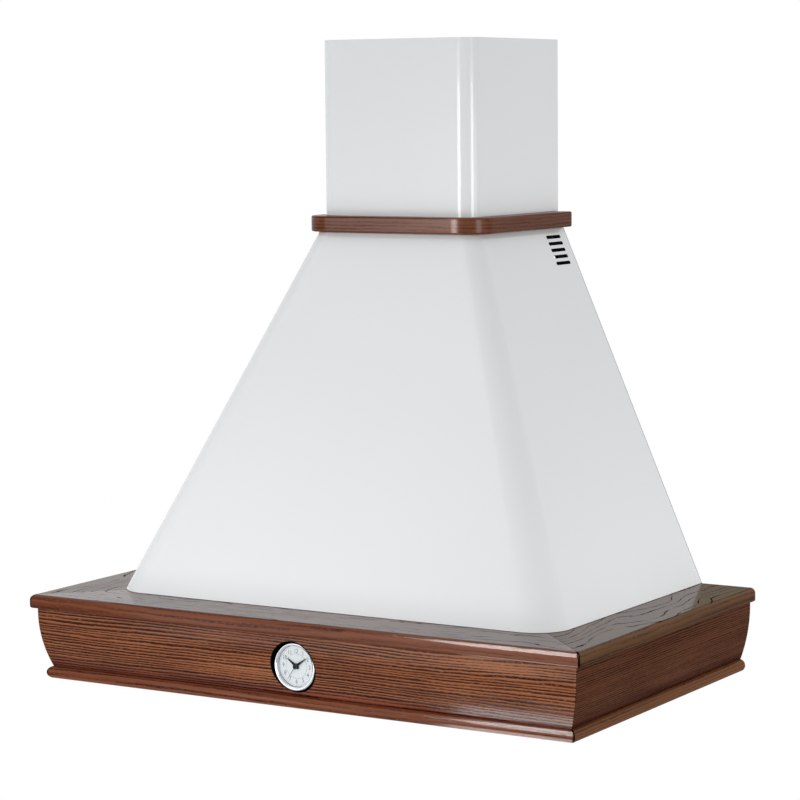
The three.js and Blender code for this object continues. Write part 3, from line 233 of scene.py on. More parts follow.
def place(name, mesh, finish, stands_for=(), body=None, crease=30, modifiers=()):
    """Puts a mesh into the scene as a piece with its finish, riding on its body.

    stands_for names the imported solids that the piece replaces; the first of them gives its body.
    modifiers is a list of (kind, settings) pairs. crease is the angle at which an edge is sharp.
    """
    material, slot = finishes[finish]
    mesh.materials.clear()
    mesh.materials.append(material)
    thing = added(name, mesh)
    for kind, settings in modifiers:
        modifier = thing.modifiers.new(kind.lower(), kind)
        for key, value in settings.items():
            setattr(modifier, key, value)
    if modifiers:
        settle(thing)
    shade_by_angle(thing.data, crease)
    thing.modifiers.new("flats", "WEIGHTED_NORMAL").keep_sharp = True
    settle(thing)
    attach(thing, body or bodies_of_nodes[stands_for[0]])
    if stands_for:
        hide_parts(*stands_for)


def rounded(width, angle=35):
    """Settings of a bevel, width in millimetres, for every edge sharper than the angle."""
    return ("BEVEL", dict(
        width=width * MM, segments=2, limit_method="ANGLE", angle_limit=math.radians(angle)
    ))


def sheet(thickness, offset=-1.0):
    """Settings that make a surface a sheet, grown inwards, or to both sides with offset 0."""
    return ("SOLIDIFY", dict(
        thickness=thickness * MM, offset=offset, use_even_offset=offset < 0.0
    ))


print("bodies to ride on", len(set(bodies_of_nodes.values())))

# %% [markdown]
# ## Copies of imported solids
#
# Many hidden pieces already have the right form and only want soft edges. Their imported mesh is
# loose triangles, so a copy is welded, its flat triangles are joined back into whole faces, and a
# narrow bevel then catches the light on every edge. To model them again would add nothing.

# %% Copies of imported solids
flat_angle = math.radians(0.5)


def eased_copy(node_name, finish, bevel):
    """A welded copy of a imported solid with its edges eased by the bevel, in millimetres."""
    mesh = frame["nodes"][node_name].data.copy()
    shell = bmesh.new()
    shell.from_mesh(mesh)
    bmesh.ops.remove_doubles(shell, verts=shell.verts, dist=weld_distance)
    bmesh.ops.dissolve_limit(shell, angle_limit=flat_angle, verts=shell.verts, edges=shell.edges)
    shell.to_mesh(mesh)
    shell.free()
    place(f"{node_name}_eased", mesh, finish, [node_name], crease=40, modifiers=[rounded(bevel)])


print("packed solids to copy from", len(frame["nodes"]))

# %% [markdown]
# ## Building materials from nodes
#
# A finish is a small network of nodes. It could be drawn by hand in the Shader Editor. The helpers
# below add a node, set its values and wire its inputs in one line instead, so that each material
# reads as a recipe.

# %% Node helpers
def new_material(name, slot, **settings):
    """An empty material with its shader; settings go straight onto the shader's own sockets."""
    material = bpy.data.materials.new(name)
    material.use_nodes = True
    shader = material.node_tree.nodes["Principled BSDF"]
    for key, value in settings.items():
        shader.inputs[key.replace("_", " ")].default_value = value
    finishes[name] = (material, slot)
    return material.node_tree, shader


def node(tree, kind, wires=None, values=None):
    """Adds a node. wires maps an input to the socket that feeds it, values an input to a number."""
    made = tree.nodes.new(f"ShaderNode{kind}")
    for key, value in (values or {}).items():
        made.inputs[key].default_value = value
    for key, socket in (wires or {}).items():
        tree.links.new(socket, made.inputs[key])
    return made


def arithmetic(tree, operation, first, second=0.0, clamp=False):
    """One Math node; each side is a number or a socket."""
    made = tree.nodes.new("ShaderNodeMath")
    made.operation = operation
    made.use_clamp = clamp
    for index, side in enumerate((first, second)):
        if isinstance(side, (int, float)):
            made.inputs[index].default_value = side
        else:
            tree.links.new(side, made.inputs[index])
    return made.outputs[0]


def combine(tree, start, *terms):
    """start + factor times socket, summed over the (factor, socket) terms."""
    total = start
    for factor, socket in terms:
        total = arithmetic(tree, "ADD", arithmetic(tree, "MULTIPLY", socket, factor), total)
    return total


def above(tree, socket, level, softness):
    """0 below the level, 1 above it, with a straight slope as wide as the softness between."""
    return arithmetic(tree, "MULTIPLY", combine(tree, -level, (1.0, socket)), 1.0 / softness, True)


def ramp(tree, socket, stops):
    """A colour ramp from (position, colour) stops; a colour is a grey or red, green, blue."""
    made = tree.nodes.new("ShaderNodeValToRGB")
    elements = made.color_ramp.elements
    while len(elements) < len(stops):
        elements.new(0.5)
    for element, (position, colour) in zip(elements, stops):
        element.position = position
        rgb = (colour,) * 3 if isinstance(colour, (int, float)) else colour
        element.color = (*rgb, 1.0)
    tree.links.new(socket, made.inputs["Fac"])
    return made.outputs["Color"]


def scaled(tree, source, scale, location=(0.0, 0.0, 0.0)):
    """The source coordinates, scaled for each axis and moved."""
    made = node(tree, "Mapping", {"Vector": source}, {"Scale": scale, "Location": location})
    return made.outputs["Vector"]


def noise(tree, vector, scale=1.0, detail=3.0, roughness=0.5):
    """Cloudy noise from 0 to 1 around 0.5."""
    values = {"Scale": scale, "Detail": detail, "Roughness": roughness}
    return node(tree, "TexNoise", {"Vector": vector}, values).outputs["Fac"]


def grain_noise(tree, grain, along, across, detail=2.0, roughness=0.5):
    """Noise drawn out with the grain: so many clouds to the metre along it and across it."""
    return noise(tree, scaled(tree, grain, (along, across, 1.0)), 1.0, detail, roughness)


def mixed(tree, factor, first, second, blend="MIX"):
    """Mixes two colours; each is a socket or red, green, blue."""
    made = tree.nodes.new("ShaderNodeMix")
    made.data_type = "RGBA"
    made.blend_type = blend
    pairs = zip((made.inputs[0], made.inputs[6], made.inputs[7]), (factor, first, second))
    for target, side in pairs:
        if isinstance(side, (int, float)):
            target.default_value = side
        elif isinstance(side, tuple):
            target.default_value = (*side, 1.0)
        else:
            tree.links.new(side, target)
    return made.outputs[2]


def bumped(tree, shader, height, strength, distance, target="Normal"):
    """Feeds a height into the shader's normal; the height reaches as far as distance, in metres."""
    made = node(tree, "Bump", {"Height": height}, {"Strength": strength, "Distance": distance})
    tree.links.new(made.outputs["Normal"], shader.inputs[target])


def hood_coordinates(tree):
    """The point's own place in the hood, in metres."""
    return node(tree, "TexCoord").outputs["Object"]


print("materials so far", len(bpy.data.materials))

# %% [markdown]
# ## Stained oak
#
# The frame is open-pored oak under a brown stain and a clear lacquer. The pattern is drawn in the
# piece's own UV map, whose first number runs along the moulding and whose second runs around its
# profile, so the grain turns with the nose and the bead. Growth rings are a ring number that
# climbs across the board and sways along it: its fraction says how far a point lies into its
# ring, dark where the wide spring pores are, light in the dense summer wood. A stretched noise
# alone would be simpler, but it gives no rings of even width.

# %% Growth rings
def growth_rings(tree, grain, pitch, sway):
    """Ring number = across / pitch + slow sway + uneven spacing + shiver; pitch in millimetres."""
    across = node(tree, "SeparateXYZ", {"Vector": grain}).outputs["Y"]
    slow = grain_noise(tree, grain, 1.7, 8.0, 1.0)
    uneven = grain_noise(tree, grain, 0.9, 55.0, 1.0)
    shiver = grain_noise(tree, grain, 24.0, 95.0)
    return combine(
        tree, 0.0, (1 / (pitch * MM), across), (sway, slow), (2.4, uneven), (0.6, shiver)
    )


def spring_wood(tree, grain, pitch, sway, contrast):
    """How dark each ring's spring wood is, up to the contrast; every ring fades along the board."""
    phase = arithmetic(tree, "FRACT", growth_rings(tree, grain, pitch, sway))
    band = ramp(tree, phase, [
        (0.0, 1.0), (0.28, 0.92), (0.52, 0.28), (0.78, 0.0), (0.92, 0.12), (1.0, 1.0)
    ])
    depth = ramp(tree, grain_noise(tree, grain, 4.5, 150.0), [(0.36, 0.42), (0.58, 1.0)])
    return arithmetic(tree, "MULTIPLY", arithmetic(tree, "MULTIPLY", band, depth), contrast)


print("rings to the metre at a pitch of 4.6 mm:", round(1 / (4.6 * MM)))

# %% [markdown]
# ## Cracks and mitres
#
# Along the flat boards some rings open into long cracks that drink the lacquer, so they stay dark
# where the board around them mirrors the canopy. Stain also gathers where two pieces meet. A point
# is on a mitre when it lies as far in from the side of the hood as from its front. Both could be
# cut into the mesh, but they are hardly wider than a line, so the material draws them.

# %% Cracks and mitres
def open_cracks(tree, grain, share):
    """Thin lines along a wide, strongly swaying ring pattern, kept only in patches; 0 to 1."""
    across = node(tree, "SeparateXYZ", {"Vector": grain}).outputs["Y"]
    sway = grain_noise(tree, grain, 4.5, 11.0, 1.0)
    shiver = grain_noise(tree, grain, 45.0, 110.0)
    rings = combine(tree, 0.0, (50.0, across), (7.0, sway), (0.35, shiver))
    phase = arithmetic(tree, "FRACT", rings)
    offset = arithmetic(tree, "ABSOLUTE", combine(tree, -0.5, (1.0, phase)))
    thickness = grain_noise(tree, grain, 30.0, 60.0)
    line = above(tree, combine(tree, 0.5, (-1.0, offset), (0.16, thickness)), 0.51, 0.05)
    patch = above(tree, grain_noise(tree, grain, 9.0, 40.0, 2.0, 0.6), 1.0 - share, 0.05)
    return arithmetic(tree, "MULTIPLY", line, patch)


def mitre_stain(tree, parts):
    """1 on the mitre of two mouldings, a little wider on nose and bead; 0 elsewhere.

    parts are the X, Y and Z of the point's place in the hood.
    """
    from_side = combine(tree, half_width * MM, (-1.0, arithmetic(tree, "ABSOLUTE", parts["X"])))
    from_front = combine(tree, -front_y * MM, (1.0, parts["Y"]))
    off_mitre = arithmetic(tree, "ABSOLUTE", arithmetic(tree, "SUBTRACT", from_side, from_front))
    outermost = arithmetic(tree, "MINIMUM", from_side, from_front)
    on_nose = arithmetic(tree, "LESS_THAN", outermost, nose_top_radius * MM)
    on_bead = arithmetic(tree, "LESS_THAN", parts["Z"], bead_height * MM)
    ragged = noise(tree, scaled(tree, hood_coordinates(tree), (260.0,) * 3), 1.0, 2.0)
    width = combine(tree, -0.0008, (0.0022, on_nose), (0.0016, on_bead), (0.003, ragged))
    return above(tree, arithmetic(tree, "SUBTRACT", width, off_mitre), 0.0, 0.0012)


print("stain reaches", nose_top_radius, "mm round the nose and", bead_height, "mm up the bead")

# %% [markdown]
# ## One recipe for every board
#
# The boards are sawn and lit differently, so they get eight finishes from one recipe: rings,
# short flecks that break them up, pores, fibres and a slow drift of tone. The lacquer is the
# shader's coat. It is thick on the boards that mirror the canopy and thin on the sides, which look
# dull. Its refraction index is low, because a lacquer rubbed flat with open pores mirrors less
# than glass.

# %% Stained oak
hollow_shade = (0.62, 0.42, 0.5)
nose_shade_start, nose_shade_height = (board_bottom + 2.0) * MM, 13.0 * MM
flat_start, flat_softness = (board_top - 0.9) * MM, 0.8 * MM


def oak_shade(tree, height, flat, flat_tone, under):
    """Painted shade by height: darker under the nose, on the flat top and in the hollow over the
    bead.
    """
    lit = above(tree, height, nose_shade_start, nose_shade_height)
    shade = mixed(tree, lit, (under,) * 3, (1.0, 1.0, 1.0))
    shade = mixed(tree, flat, shade, (flat_tone,) * 3)
    decimetres = arithmetic(tree, "MULTIPLY", height, 10.0)
    hollow = ramp(tree, decimetres, [(0.18, 0.0), (0.184, 1.0), (0.24, 0.8), (0.36, 0.0)])
    return mixed(tree, hollow, shade, hollow_shade)


def oak(name, colours, pitch, sway, contrast, shift, crack=0.0, lacquer=0.85, flat_lacquer=0.0,
        flat_tone=1.0, under=1.0, lean=0.0, clarity=1.27, haze=0.12):
    """Oak with its grain along the first UV axis.

    colours run from dark through middle to light, shift moves the pattern to another part of the
    log, crack is the share of the board with cracks, lacquer the weight of the coat, clarity its
    refraction index and haze its roughness. On the flat top of the frame flat_lacquer is added to
    the coat and flat_tone darkens the wood as painted shade; under darkens the lower half of the
    nose as painted shade, and lean makes the wood lighter towards the right end of the hood. The
    hollow over the bead gets painted shade on every board.
    """
    tree, shader = new_material(
        name, "stained_wood", Coat_Roughness=haze, Coat_IOR=clarity, Specular_IOR_Level=0.0,
    )
    coordinates = node(tree, "TexCoord").outputs
    parts = node(tree, "SeparateXYZ", {"Vector": coordinates["Object"]}).outputs
    grain = scaled(tree, coordinates["UV"], (1.0, 1.0, 1.0), (shift, shift * 0.37, 0.0))
    spring = spring_wood(tree, grain, pitch, sway, contrast)
    pores = grain_noise(tree, grain, 32.0, 900.0, 2.0, 0.6)
    pore = above(tree, combine(tree, 0.0, (1.0, pores), (0.26, spring)), 0.68, 0.1)
    fleck = grain_noise(tree, grain, 150.0, 640.0, 2.0, 0.7)
    broken = arithmetic(tree, "MULTIPLY", spring, combine(tree, -1.6, (5.2, fleck)))
    fibre = grain_noise(tree, grain, 12.0, 620.0, 3.0, 0.6)
    drift = grain_noise(tree, grain, 3.0, 14.0, 3.0)
    tone = combine(
        tree, -0.04, (-0.85, broken), (0.6, fleck), (0.42, fibre), (0.8, drift), (lean, parts["X"])
    )
    dark, middle, light = colours
    deep = tuple(0.16 * c for c in dark)
    flat = above(tree, parts["Z"], flat_start, flat_softness)
    cracks = arithmetic(tree, "MULTIPLY", open_cracks(tree, grain, crack), flat)
    sunk = arithmetic(tree, "MAXIMUM", cracks, mitre_stain(tree, parts))
    wood = ramp(tree, tone, [(0.04, dark), (0.46, middle), (0.95, light)])
    wood = mixed(tree, arithmetic(tree, "MULTIPLY", pore, 0.6), wood, deep)
    wood = mixed(tree, sunk, wood, deep)
    shade = oak_shade(tree, parts["Z"], flat, flat_tone, under)
    tree.links.new(mixed(tree, 1.0, wood, shade, "MULTIPLY"), shader.inputs["Base Color"])
    coat = combine(tree, lacquer, (flat_lacquer, flat))
    gloss = arithmetic(tree, "MULTIPLY", coat, combine(tree, 1.0, (-0.88, sunk)))
    tree.links.new(gloss, shader.inputs["Coat Weight"])
    tree.links.new(combine(tree, 0.45, (0.3, pore)), shader.inputs["Roughness"])
    relief = combine(tree, 0.0, (0.25, fibre), (-1.0, pore), (-2.0, sunk))
    bumped(tree, shader, relief, 0.5, 0.00025)
    bumped(tree, shader, relief, 0.2, 0.0002, "Coat Normal")


# %% [markdown]
# ## The boards' finishes
#
# The stain looks redder where the light comes from the front and greener at the side. That look
# is painted into the colours as painted light and shade, so six sets of colours are mixed: the
# sides' sets are the front's stain as lit on the sides. The fascia shows strong narrow rings, the
# flat boards wide soft ones. One colour for all would be truer to the tin.

# %% The boards' finishes
warm = [(0.027, 0.004, 0.0018), (0.1, 0.023, 0.009), (0.36, 0.135, 0.057)]
russet = [(0.04, 0.0065, 0.0025), (0.125, 0.031, 0.0105), (0.22, 0.064, 0.025)]
umber = [(0.034, 0.006, 0.0026), (0.1, 0.025, 0.0095), (0.17, 0.058, 0.027)]
# The three sets for the sides are painted light and shade: the front's stain as it looks on the
# sides.
side_fascia_as_lit = [(0.036, 0.01, 0.0045), (0.086, 0.028, 0.0125), (0.145, 0.056, 0.027)]
side_bead_as_lit = [(0.05, 0.013, 0.005), (0.14, 0.05, 0.02), (0.22, 0.095, 0.042)]
side_board_as_lit = [(0.045, 0.016, 0.005), (0.12, 0.049, 0.018), (0.19, 0.088, 0.037)]
oak("front_oak", warm, pitch=4.6, sway=5.0, contrast=1.0, shift=0.0, lean=0.13)
for name, shift in (("side_oak", 3.1), ("left_side_oak", 5.3)):
    oak(name, side_fascia_as_lit, pitch=3.1, sway=4.0, contrast=0.85, shift=shift, lacquer=0.12)
oak("front_board_oak", russet, pitch=11.0, sway=3.0, contrast=0.6, shift=7.7, crack=0.52,
    lacquer=0.5, flat_lacquer=0.5, flat_tone=0.5, clarity=1.38, under=0.8)
oak("side_board_oak", side_board_as_lit, pitch=8.0, sway=3.0, contrast=0.6, shift=9.2, crack=0.67,
    lacquer=0.35, flat_lacquer=0.45, flat_tone=0.6, under=0.6)
oak("bead_oak", russet, pitch=7.0, sway=3.0, contrast=0.8, shift=11.4)
oak("side_bead_oak", side_bead_as_lit, pitch=5.0, sway=3.0, contrast=0.6, shift=13.9, lacquer=0.2)
oak("collar_oak", umber, pitch=5.0, sway=3.0, contrast=0.6, shift=17.3, lacquer=0.8,
    clarity=1.2, haze=0.24)
print("oak finishes", len(finishes))

# %% [markdown]
# ## Bare wood of the hidden frame
#
# The rear rail and the glue blocks are planed softwood without stain. They could have a UV map as
# the oak has, but Object coordinates are enough here, because each piece is straight and lies
# along one axis of the hood.

# %% Bare softwood
def softwood(name, stretch):
    """Pale straight grain; stretch says how fine the pattern is along X, Y and Z."""
    tree, shader = new_material(name, "plain_wood", Roughness=0.68, Specular_IOR_Level=0.3)
    here = hood_coordinates(tree)
    bands = noise(tree, scaled(tree, here, stretch), 1.0, 3.0, 0.55)
    fibres = noise(tree, scaled(tree, here, tuple(5 * s for s in stretch)), 1.0, 4.0)
    tone = combine(tree, 0.0, (0.8, bands), (0.35, fibres))
    wood = ramp(tree, tone, [
        (0.35, (0.3, 0.16, 0.07)), (0.55, (0.5, 0.31, 0.15)), (0.8, (0.6, 0.42, 0.23))
    ])
    tree.links.new(wood, shader.inputs["Base Color"])
    bumped(tree, shader, fibres, 0.35, 0.0004)


softwood("softwood_rail", (3.0, 120.0, 120.0))
softwood("softwood_block", (120.0, 120.0, 6.0))
print("wood finishes", len(finishes))

# %% [markdown]
# ## Stove enamel
#
# Enamel is glass melted onto steel. It is nearly white with a breath of blue, it shines, and it is
# never quite flat: a slight orange-peel ripple spreads its highlights. The ripple is a bump with a
# pitch of a few millimetres; without it the coat would mirror like glass. A very faint drift of
# tone stands for the uneven thickness. On its room side the back panel is painted near black, as
# painted shade for the dark inside of the hood, so that the vent slots in front of it look black.

# %% Stove enamel
def enamel(name, colour, roughness=0.2, painted_black_before=None):
    """Glossy enamel; colour is its own plain tone.

    Where the point lies nearer to the room than the given depth, in metres, it is painted near
    black instead: painted shade.
    """
    tree, shader = new_material(
        name, "enamel", Roughness=roughness, Coat_Weight=0.6, Coat_Roughness=0.06, Coat_IOR=1.5,
    )
    here = hood_coordinates(tree)
    tone = mixed(tree, noise(tree, here, 5.0, 2.0), tuple(0.97 * c for c in colour), colour)
    if painted_black_before is not None:
        depth = node(tree, "SeparateXYZ", {"Vector": here}).outputs["Y"]
        white_from = above(tree, depth, painted_black_before, 0.1 * MM)
        # Painted shade: near black on the room side of the given depth.
        tone = mixed(tree, white_from, (0.005, 0.006, 0.007), tone)
    tree.links.new(tone, shader.inputs["Base Color"])
    peel = noise(tree, here, 260.0, 2.0, 0.45)
    bumped(tree, shader, peel, 0.10, 0.0005)
    bumped(tree, shader, peel, 0.05, 0.0005, "Coat Normal")


back_of_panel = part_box("back_panel")[1][1]
enamel("enamel", (0.78, 0.8, 0.81))
enamel("inner_enamel", (0.7, 0.72, 0.73), roughness=0.3)
enamel("ground_coat", (0.7, 0.72, 0.73), roughness=0.4, painted_black_before=back_of_panel - 1.3 * MM)
print("the back of the panel lies", round(back_of_panel / MM, 1), "mm behind the middle")

# %% [markdown]
# ## Metals
#
# Zinc-plated sheet has a dull shine with a cloudy spangle. Rolled aluminium shows fine parallel
# lines from the rollers. Chrome is almost a mirror, broken only by a little haze; the satin chrome
# of the lamps is rougher and darker. One recipe serves all: streaks for the roughness and a cloud
# for the tone.

# %% Metals
def noisy(tree, shader, level, spread, clouds):
    """Lets the roughness wander round its level: level - spread / 2 + spread times the clouds."""
    rough = combine(tree, level - spread / 2, (spread, clouds))
    tree.links.new(rough, shader.inputs["Roughness"])


def metal(name, slot, colour, roughness, grain, spread, bump=0.05):
    """Bare metal. grain scales the streaks along X, Y and Z; spread is how far roughness varies."""
    tree, shader = new_material(name, slot, Metallic=1.0)
    here = hood_coordinates(tree)
    streaks = noise(tree, scaled(tree, here, grain), 1.0, 4.0, 0.6)
    noisy(tree, shader, roughness, spread, streaks)
    tone = mixed(tree, noise(tree, here, 22.0, 3.0), tuple(0.8 * c for c in colour), colour)
    tree.links.new(tone, shader.inputs["Base Color"])
    bumped(tree, shader, streaks, bump, 0.0003)


spangle, haze = (70.0,) * 3, (300.0,) * 3
metal("zinc_sheet", "zinc_steel", (0.62, 0.64, 0.66), 0.38, spangle, 0.25)
metal("motor_paint", "zinc_steel", (0.4, 0.41, 0.43), 0.42, (40.0, 220.0, 220.0), 0.15)
metal("rolled_aluminium", "aluminium", (0.8, 0.81, 0.83), 0.3, (30.0, 900.0, 900.0), 0.2)
metal("polished_chrome", "chrome", (0.78, 0.81, 0.84), 0.1, haze, 0.06, bump=0.01)
metal("satin_chrome", "chrome", (0.5, 0.51, 0.53), 0.3, haze, 0.1, bump=0.03)
print("finishes so far", len(finishes))

# %% [markdown]
# ## Moulded plastics
#
# The blower's fittings, the switch and the clock's case are moulded. A mould leaves a fine matt
# skin, which is a small noise in the bump and in the roughness. One even roughness would be
# simpler, but it makes a case look like painted metal. The deepest black shines not at all, so
# that the bores look deep: it is the clock's black seat ring and the black wall of its bore, made
# darker still as painted shade, and on the walls of the vent slots it is painted shade alone. The
# print on the dial is a flat ink.

# %% Moulded plastics
def plastic(name, slot, colour, roughness, texture=0.25, shine=0.45):
    """Moulded plastic; texture is the strength of its skin, shine the weight of its reflection."""
    tree, shader = new_material(name, slot, Specular_IOR_Level=shine)
    here = hood_coordinates(tree)
    skin = noise(tree, here, 1400.0, 2.0)
    cloud = noise(tree, here, 30.0, 2.0)
    noisy(tree, shader, roughness, 0.12, cloud)
    lighter = tuple(min(1.0, 1.15 * c + 0.004) for c in colour)
    tree.links.new(mixed(tree, cloud, colour, lighter), shader.inputs["Base Color"])
    bumped(tree, shader, skin, texture, 0.0001)


plastic("black_plastic", "black_plastic", (0.018, 0.018, 0.02), 0.48)
# The deepest black: the seat ring's own black, and painted shade in the clock's bore and the vent
# slots.
plastic("bore_black", "black_plastic", (0.001, 0.001, 0.0015), 0.6, shine=0.0)
plastic("wheel_plastic", "black_plastic", (0.03, 0.032, 0.036), 0.42)
plastic("white_plastic", "white_plastic", (0.76, 0.76, 0.73), 0.32, 0.15)
plastic("hand_lacquer", "hand_black", (0.003, 0.004, 0.005), 0.5, 0.05, 0.1)
plastic("dial_print", "hand_black", (0.12, 0.17, 0.22), 0.6, 0.05, 0.1)
plastic("clock_white", "dial_white", (0.84, 0.93, 0.98), 0.5, 0.1)
print("finishes so far", len(finishes))

# %% [markdown]
# ## Glass
#
# The clock's lens is thin and clear, and alpha lets most of the dial through it, because a real
# bend of the rays would cost light for nothing that the eye can see. The lamps have frosted glass:
# light goes through it but no picture does, so its roughness is high.

# %% Glass
def glass(name, slot, colour, roughness, alpha, transmission):
    """Clear or frosted glass. Alpha keeps thin glass light in colour."""
    tree, shader = new_material(
        name, slot, Base_Color=(*colour, 1.0), IOR=1.45, Alpha=alpha,
        Transmission_Weight=transmission, Coat_Weight=0.1, Coat_Roughness=0.02,
    )
    clouds = noise(tree, hood_coordinates(tree), 90.0, 2.0)
    noisy(tree, shader, roughness + 0.01, 0.02, clouds)
    bumped(tree, shader, clouds, 0.02, 0.0002)


glass("clear_glass", "clear_glass", (0.12, 0.14, 0.16), 0.01, 0.05, 0.0)
glass("frosted_glass", "frosted_glass", (0.8, 0.84, 0.87), 0.45, 1.0, 0.35)
print("finishes", len(finishes))

# %% [markdown]
# ## Outlines with rounded corners
#
# Profiles and plans are given as corners, each with its own radius, the way they are dimensioned
# on a drawing. The arc at a corner touches both straight lines, so its centre lies on the line
# that halves the corner. A bevel could round the finished mesh instead, but here nearly every
# corner has another radius, and a drawing states them one by one.

# %% Rounded outlines
def unit(vectors):
    """Each vector divided by its length."""
    return vectors / np.linalg.norm(vectors, axis=-1, keepdims=True)


def rounded_line(corners, steps=10):
    """Points along a line of corners (a, b, radius), with its arcs drawn in.

    With h half the angle at a corner, the arc's centre is radius / sin h along the halving line,
    its ends are radius / tan h along the two sides, and its points swing evenly from one end to
    the other.
    """
    corners = np.array(corners, float)
    points, radius = corners[:, :2], np.maximum(corners[1:-1, 2:], 1e-5)
    middle = points[1:-1]
    back, ahead = unit(points[:-2] - middle), unit(points[2:] - middle)
    half = 0.5 * np.arccos(np.clip((back * ahead).sum(-1, keepdims=True), -1.0, 1.0))
    centre = middle + unit(back + ahead) * radius / np.sin(half)
    first = unit(middle + back * radius / np.tan(half) - centre)
    last = unit(middle + ahead * radius / np.tan(half) - centre)
    swing = np.pi - 2 * half
    share = np.linspace(0.0, 1.0, steps + 1)[:, None, None]
    arcs = centre + radius * (
        np.sin((1 - share) * swing) * first + np.sin(share * swing) * last
    ) / np.sin(swing)
    line = np.concatenate([points[:1], arcs.transpose(1, 0, 2).reshape(-1, 2), points[-1:]])
    moved = np.linalg.norm(np.diff(line, axis=0), axis=-1) > 1e-3
    return line[np.concatenate([[True], moved])]


def rounded_loop(corners, steps=10):
    """The same for a closed outline: its first point comes again at the end."""
    first, second = np.array(corners[0][:2]), np.array(corners[-1][:2])
    start = tuple((first + second) / 2) + (0.0,)
    return rounded_line([start, *corners, start], steps)


def rectangle(a0, a1, b0, b1, radius):
    """The four corners of a rectangle, all of one radius."""
    return [(a0, b0, radius), (a1, b0, radius), (a1, b1, radius), (a0, b1, radius)]


print("a rounded square has", len(rounded_loop(rectangle(0, 10, 0, 10, 2))), "points")

# %% [markdown]
# ## Pushed and turned solids
#
# A plate is an outline pushed along one axis, and a ring or a knob is a profile swung round its
# axle, as on a lathe. Blender's own Extrude and Spin do the same by hand. Worked out with a sine
# and a cosine, every point of the turn follows from two numbers, and the seam closes exactly when
# the doubled points are merged.

# %% Pushed and turned solids
axes = dict(
    up=np.array([[1, 0, 0], [0, 1, 0], [0, 0, 1]], float),
    back=np.array([[1, 0, 0], [0, 0, 1], [0, 1, 0]], float),
    right=np.array([[0, 1, 0], [0, 0, 1], [1, 0, 0]], float),
)


def cap(ring):
    """Closes a ring that bulges everywhere: a fan of faces from the ring to its middle."""
    return np.stack([ring, np.broadcast_to(ring[:-1].mean(0), ring.shape)])


def closed(rings):
    """Grids of a solid that is stretched between a first and a last ring."""
    return [np.stack(rings), cap(rings[0]), cap(rings[-1])]


def prism(outline, start, end, axis):
    """Grids of a solid: an outline of (a, b) points pushed from start to end along an axis.

    For axis 0, 1 or 2 the pair (a, b) means (y, z), (x, z) or (x, y).
    """
    return closed([np.insert(outline, axis, distance, axis=1) for distance in (start, end)])


def turned(profile, centre, axis="up", segments=96):
    """Grid of a turned surface: profile (radius, height) swung round an axis through a centre.

    A point is centre + radius (cos t, sin t) across the axis + height along it.
    """
    profile = np.array(profile, float)
    angle = np.linspace(0.0, 2 * np.pi, segments + 1)
    across, upright, along = axes[axis]
    circle = np.cos(angle)[:, None] * across + np.sin(angle)[:, None] * upright
    return np.array(centre) + profile[:, None, :1] * circle + profile[:, None, 1:] * along


print("a turned line of 2 points has", turned([(1, 0), (1, 1)], (0, 0, 0)).shape[1], "columns")

# %% [markdown]
# ## The profiles of the mouldings
#
# A moulding is planed to one profile along its whole length. A profile is a loop of (inset,
# height) points: the top board ends in a round nose, the fascia hollows back on a circle, and the
# bead is a half round. They could be traced from a picture, but arcs and straight lines are what
# the planer's knives are ground to.

# %% The profiles of the mouldings
def fascia_inset_at(z):
    """The face hollows back on a circle: inset = top inset + radius - sqrt(radius^2 - drop^2)."""
    drop = np.maximum(fascia_curve_start - z, 0.0)
    return fascia_top_inset + fascia_radius - np.sqrt(fascia_radius**2 - drop**2)


board_profile = rounded_loop([
    (board_width, board_bottom, 0.6), (0.0, board_bottom, nose_bottom_radius),
    (0.0, board_top, nose_top_radius), (board_width, board_top, 0.6),
])
bead_radius = bead_height / 2 - 0.001
bead_profile = rounded_loop([
    (fascia_back_inset, 0.0, 0.5), (bead_inset, 0.0, bead_radius),
    (bead_inset, bead_height, bead_radius), (fascia_back_inset, bead_height, 0.5),
], 16)
fascia_z = np.linspace(bead_height + gap, fascia_curve_start, 40)
fascia_profile = np.concatenate([
    [[fascia_back_inset, bead_height + gap]], np.stack([fascia_inset_at(fascia_z), fascia_z], -1),
    [[fascia_top_inset, board_bottom - gap], [fascia_back_inset, board_bottom - gap],
     [fascia_back_inset, bead_height + gap]],
])
print("the fascia hollows back to", round(float(fascia_inset_at(bead_height)), 1), "mm")

# %% [markdown]
# ## Cutters
#
# The clock sits in a bore, the duct passes through the collar and the air through slots. A hole
# could be left open in the grid, but then all its rows would have to bend around the hole. A
# second body that cuts the finished surface leaves the rows and the grain straight, and the faces
# of the cut take the cutter's finish.

# %% Cutters
def cutter(name, grids, finish):
    """A body to cut with. The faces that it leaves take its own finish."""
    mesh = grids_mesh(name, grids)
    mesh.materials.append(finishes[finish][0])
    return added(name, mesh)


def cut_by(tool):
    """Settings of a cut with that body."""
    return ("BOOLEAN", dict(
        operation="DIFFERENCE", object=tool, solver="EXACT", material_mode="TRANSFER"
    ))


clock_axis = (0.0, front_y, clock_z)
bore_radius, bore_depth = 37.0, 23.5
# The bore's walls take the deepest black: a black bore, darker still as painted shade.
bore = cutter("bore_cutter", [turned([
    (0, -8), (bore_radius, -8), (bore_radius, bore_depth), (31, bore_depth), (31, 60), (0, 60)
], clock_axis, "back", 160)], "bore_black")
print("bore", 2 * bore_radius, "mm across,", bore_depth, "mm deep from the front edge")

# %% [markdown]
# ## The wooden mouldings
#
# At a mitre the end of a moulding is cut at 45 degrees, so each profile point simply ends as far
# from the corner as its own inset: both end loops follow from the profile, and the surface is
# stretched between them. A long box cut by a slanted plane would give the same shape, but its
# faces would not carry the grain's distance along the board.

